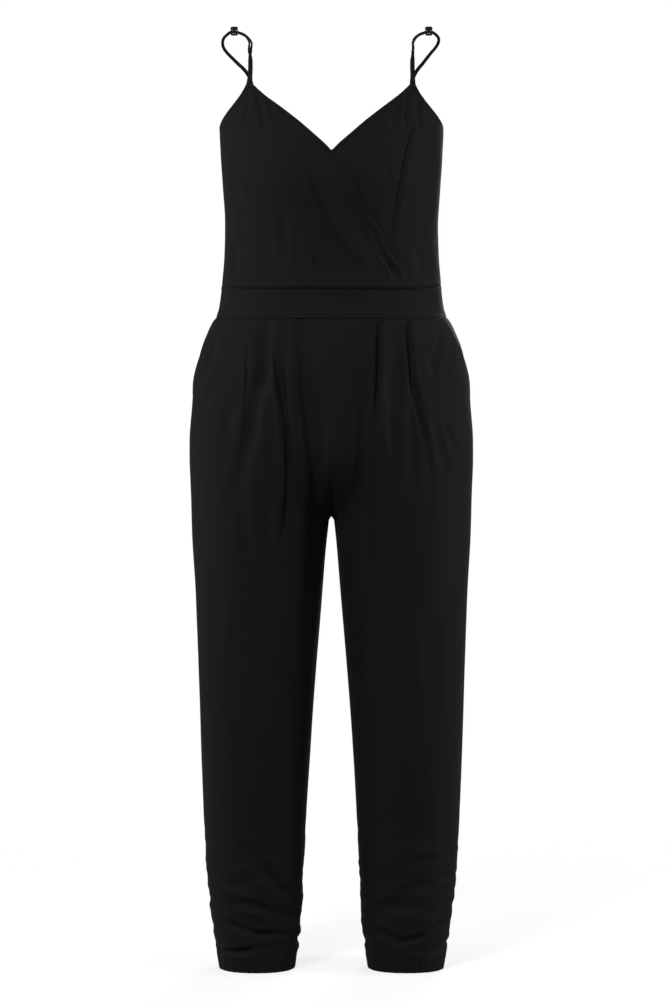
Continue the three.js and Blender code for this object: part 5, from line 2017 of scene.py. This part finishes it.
LEFT_FRONT_CREASES = rows_of(
    Crease, (134, 122, 88, 366, -5, 3.3, 2.7), (128, 150, 82, 344, -5, 1.8, 8),
    (120, 102, 112, 164, -2, 3.0, 4), (131, 106, 134, 168, 1, 2.4, 4), (108, 112, 92, 170, -2, 2.0, 5),
    (80, 214, 90, 262, 1, 2.0, 5), (150, 290, 134, 350, -3, 2.6, 6), (142, 392, 156, 360, 2, 3.0, 4.5),
    (124, 330, 138, 392, 2, 2.4, 5), (158, 190, 150, 300, -2, 2.0, 7),
)
LEFT_PLEATS = rows_of(
    PleatRow, (440, 116, 4, 76, 4.5, 50, 0.4), (500, 121, 6, 75, 6, 48, 2),
    (545, 126, 6.5, 73.5, 7, 49, 5), (587, 134, 5, 71, 5, 50, 6.5), (640, 147, 2.6, 70, 2, 45, 7),
    (700, 152, 1, 69, 1, 43, 7), (780, 154, 0, 74, 0.3, 56, 5), (880, 156, 0, 84, 0, 62, 2.6),
    (1000, 158, 0, 96, 0, 66, 0.6), (1450, 144, 0, 104, 0, 80, 0),
)
RIGHT_PLEATS = rows_of(
    PleatRow, (440, 119, 0.6, 79, 0.8, 50, 1.2), (500, 128, 1.4, 86, 1.6, 46, 5),
    (545, 129, 4, 83, 5.5, 43, 8), (587, 131, 1.2, 74.5, 5, 39, 10.5),
    (640, 135, 0.6, 68.5, 4.6, 33, 12), (700, 142, 0.3, 69, 3.8, 27.5, 11), (780, 150, 0, 77, 2, 29, 6),
    (880, 154, 0, 84, 0.8, 34, 2.6), (1000, 158, 0, 96, 0, 46, 0.6), (1450, 144, 0, 104, 0, 80, 0),
)
RIGHT_THIGH_CREASES = rows_of(
    Crease, (97, 452, 100, 570, 2, 4.8, 10), (99, 520, 124, 650, 3, 4.6, 10),
    (118, 610, 150, 750, 3, 2.8, 12), (80, 520, 66, 655, -3.4, 5.2, 6.5),
    (65, 620, 76, 800, -4, 5.0, 6), (152, 568, 158, 690, 2, 2.4, 9), (133, 700, 122, 830, 2, 1.3, 10),
    (62, 690, 50, 900, 3, 2.8, 13), (96, 700, 100, 900, 2, 2.0, 9), (58, 500, 62, 640, 2, -2.6, 8),
    (20, 560, 14, 690, 1, 3.0, 9), (176, 470, 189, 530, -2, 2.2, 5), (182, 500, 196, 545, 2, 1.8, 4),
    (168, 540, 196, 600, 3, 2.0, 6), (150, 880, 138, 1150, 3, 1.4, 12),
    (86, 930, 104, 1180, -3, 1.3, 11),
)
LEFT_THIGH_CREASES = rows_of(
    Crease, (94, 480, 95, 690, 2, 4.6, 9), (36, 590, 30, 724, 1, -2.6, 8),
    (66, 700, 64, 900, -3, 3.2, 11), (168, 608, 184, 652, 3, 2.8, 5), (150, 600, 172, 690, 2, 2.6, 7),
    (18, 590, 12, 700, 1, 2.4, 9), (72, 452, 67, 604, 1, 4.4, 3.4), (112, 455, 121, 572, 2, 3.6, 3.6),
    (120, 540, 143, 650, 2, 3.2, 5), (84, 520, 86, 640, 1, 2.6, 8), (168, 470, 152, 540, -3, 2.4, 5),
    (180, 480, 172, 560, 2, 2.4, 5), (142, 500, 156, 548, 2, 2.2, 4), (186, 540, 176, 590, 2, 2.0, 4),
    (112, 560, 118, 720, 3, 2.8, 10), (150, 860, 142, 1120, 3, 1.4, 12),
    (82, 920, 96, 1160, -3, 1.3, 12),
)
RIGHT_SEAT_CREASES = rows_of(
    Crease, (40, 690, 150, 742, -10, 2.6, 11), (60, 730, 170, 790, -9, 2.0, 11),
    (30, 640, 110, 700, -8, 1.2, 12), (96, 470, 104, 590, 2, 1.2, 9), (150, 480, 164, 600, -3, 1.3, 10),
    (120, 820, 132, 1080, 3, 1.5, 13), (70, 860, 88, 1120, -3, 1.3, 12), (34, 760, 60, 880, 4, 1.4, 10),
)
LEFT_SEAT_CREASES = rows_of(
    Crease, (36, 700, 146, 736, -9, 2.2, 11), (64, 742, 176, 776, -8, 2.3, 10),
    (34, 650, 100, 690, -7, 1.4, 12), (90, 480, 92, 610, -2, 1.3, 10), (154, 474, 150, 590, 3, 1.1, 9),
    (126, 840, 120, 1090, -3, 1.4, 13), (76, 850, 94, 1100, 3, 1.5, 13), (30, 768, 64, 900, 3, 1.2, 10),
)
RIGHT_ANKLE = rows_of(
    RingCrease, (62, 1238, 134, 1330, 5, 2.6, 8), (84, 1282, 138, 1338, 4, 2.0, 6),
    (56, 1338, 128, 1362, 4, 3.0, 7), (40, 1366, 118, 1392, -4, 2.2, 5),
    (88, 1388, 160, 1400, 5, 3.0, 6), (16, 1418, 96, 1408, -4, 3.0, 5),
    (-20, 1376, 40, 1400, 5, 2.4, 6), (128, 1352, 196, 1380, -5, 2.2, 7),
    (150, 1412, 220, 1404, 4, 2.4, 6), (200, 1330, 292, 1366, 8, 2.8, 8),
    (214, 1376, 300, 1392, -6, 2.6, 7), (236, 1404, 340, 1412, 5, 2.8, 6),
    (226, 1260, 290, 1318, 6, 2.0, 9), (282, 1344, 352, 1364, -5, 2.0, 7),
)
LEFT_ANKLE = rows_of(
    RingCrease, (68, 1340, 142, 1348, 3, 2.6, 9), (52, 1312, 110, 1330, 4, 1.6, 8),
    (58, 1386, 104, 1400, -3, 2.4, 5), (92, 1408, 150, 1384, 4, 2.8, 6),
    (110, 1368, 168, 1362, 4, 2.2, 7), (18, 1362, 64, 1390, 4, 2.6, 6),
    (-24, 1400, 44, 1412, -4, 2.4, 6), (138, 1404, 204, 1414, 4, 2.2, 6),
    (196, 1350, 286, 1336, -7, 2.6, 8), (210, 1394, 296, 1376, 6, 2.6, 7),
    (244, 1414, 332, 1402, -5, 2.6, 6), (232, 1300, 296, 1270, 6, 1.8, 9),
    (288, 1352, 350, 1340, 5, 1.9, 7),
)


def main() -> None:
    """Builds the studio and every piece of the jumpsuit in order."""
    logging.basicConfig(level=logging.INFO, format="%(name)s %(message)s")
    Studio().build()
    wardrobe = Wardrobe()
    right = BodiceFront(Side.RIGHT, RIGHT_FRONT_CREASES)
    left = BodiceFront(Side.LEFT, LEFT_FRONT_CREASES)
    BodiceBack().build(wardrobe)
    Waistband(-90.0, 90.0, "waistband_front", (0.46, 0.047), under=False).build(wardrobe)
    Waistband(90.0, 270.0, "waistband_back", (0.44, 0.052), under=True).build(wardrobe)
    Strap(Side.RIGHT, right, gathered=3.4, spread=3.3, open_spread=3.9).build(wardrobe)
    right.build(wardrobe)
    Strap(Side.LEFT, left).build(wardrobe)
    left.build(wardrobe)
    TrouserLeg(Side.RIGHT, RIGHT_PLEATS, RIGHT_THIGH_CREASES, RIGHT_SEAT_CREASES, RIGHT_ANKLE,
               fold=1.6, fold_fade=(540.0, 580.0), high=0.85, low=1.15, seed=41).build(wardrobe)
    TrouserLeg(Side.LEFT, LEFT_PLEATS, LEFT_THIGH_CREASES, LEFT_SEAT_CREASES, LEFT_ANKLE,
               fold=3.6, fold_fade=(476.0, 590.0), seed=61).build(wardrobe)


if __name__ == "__main__":
    main()
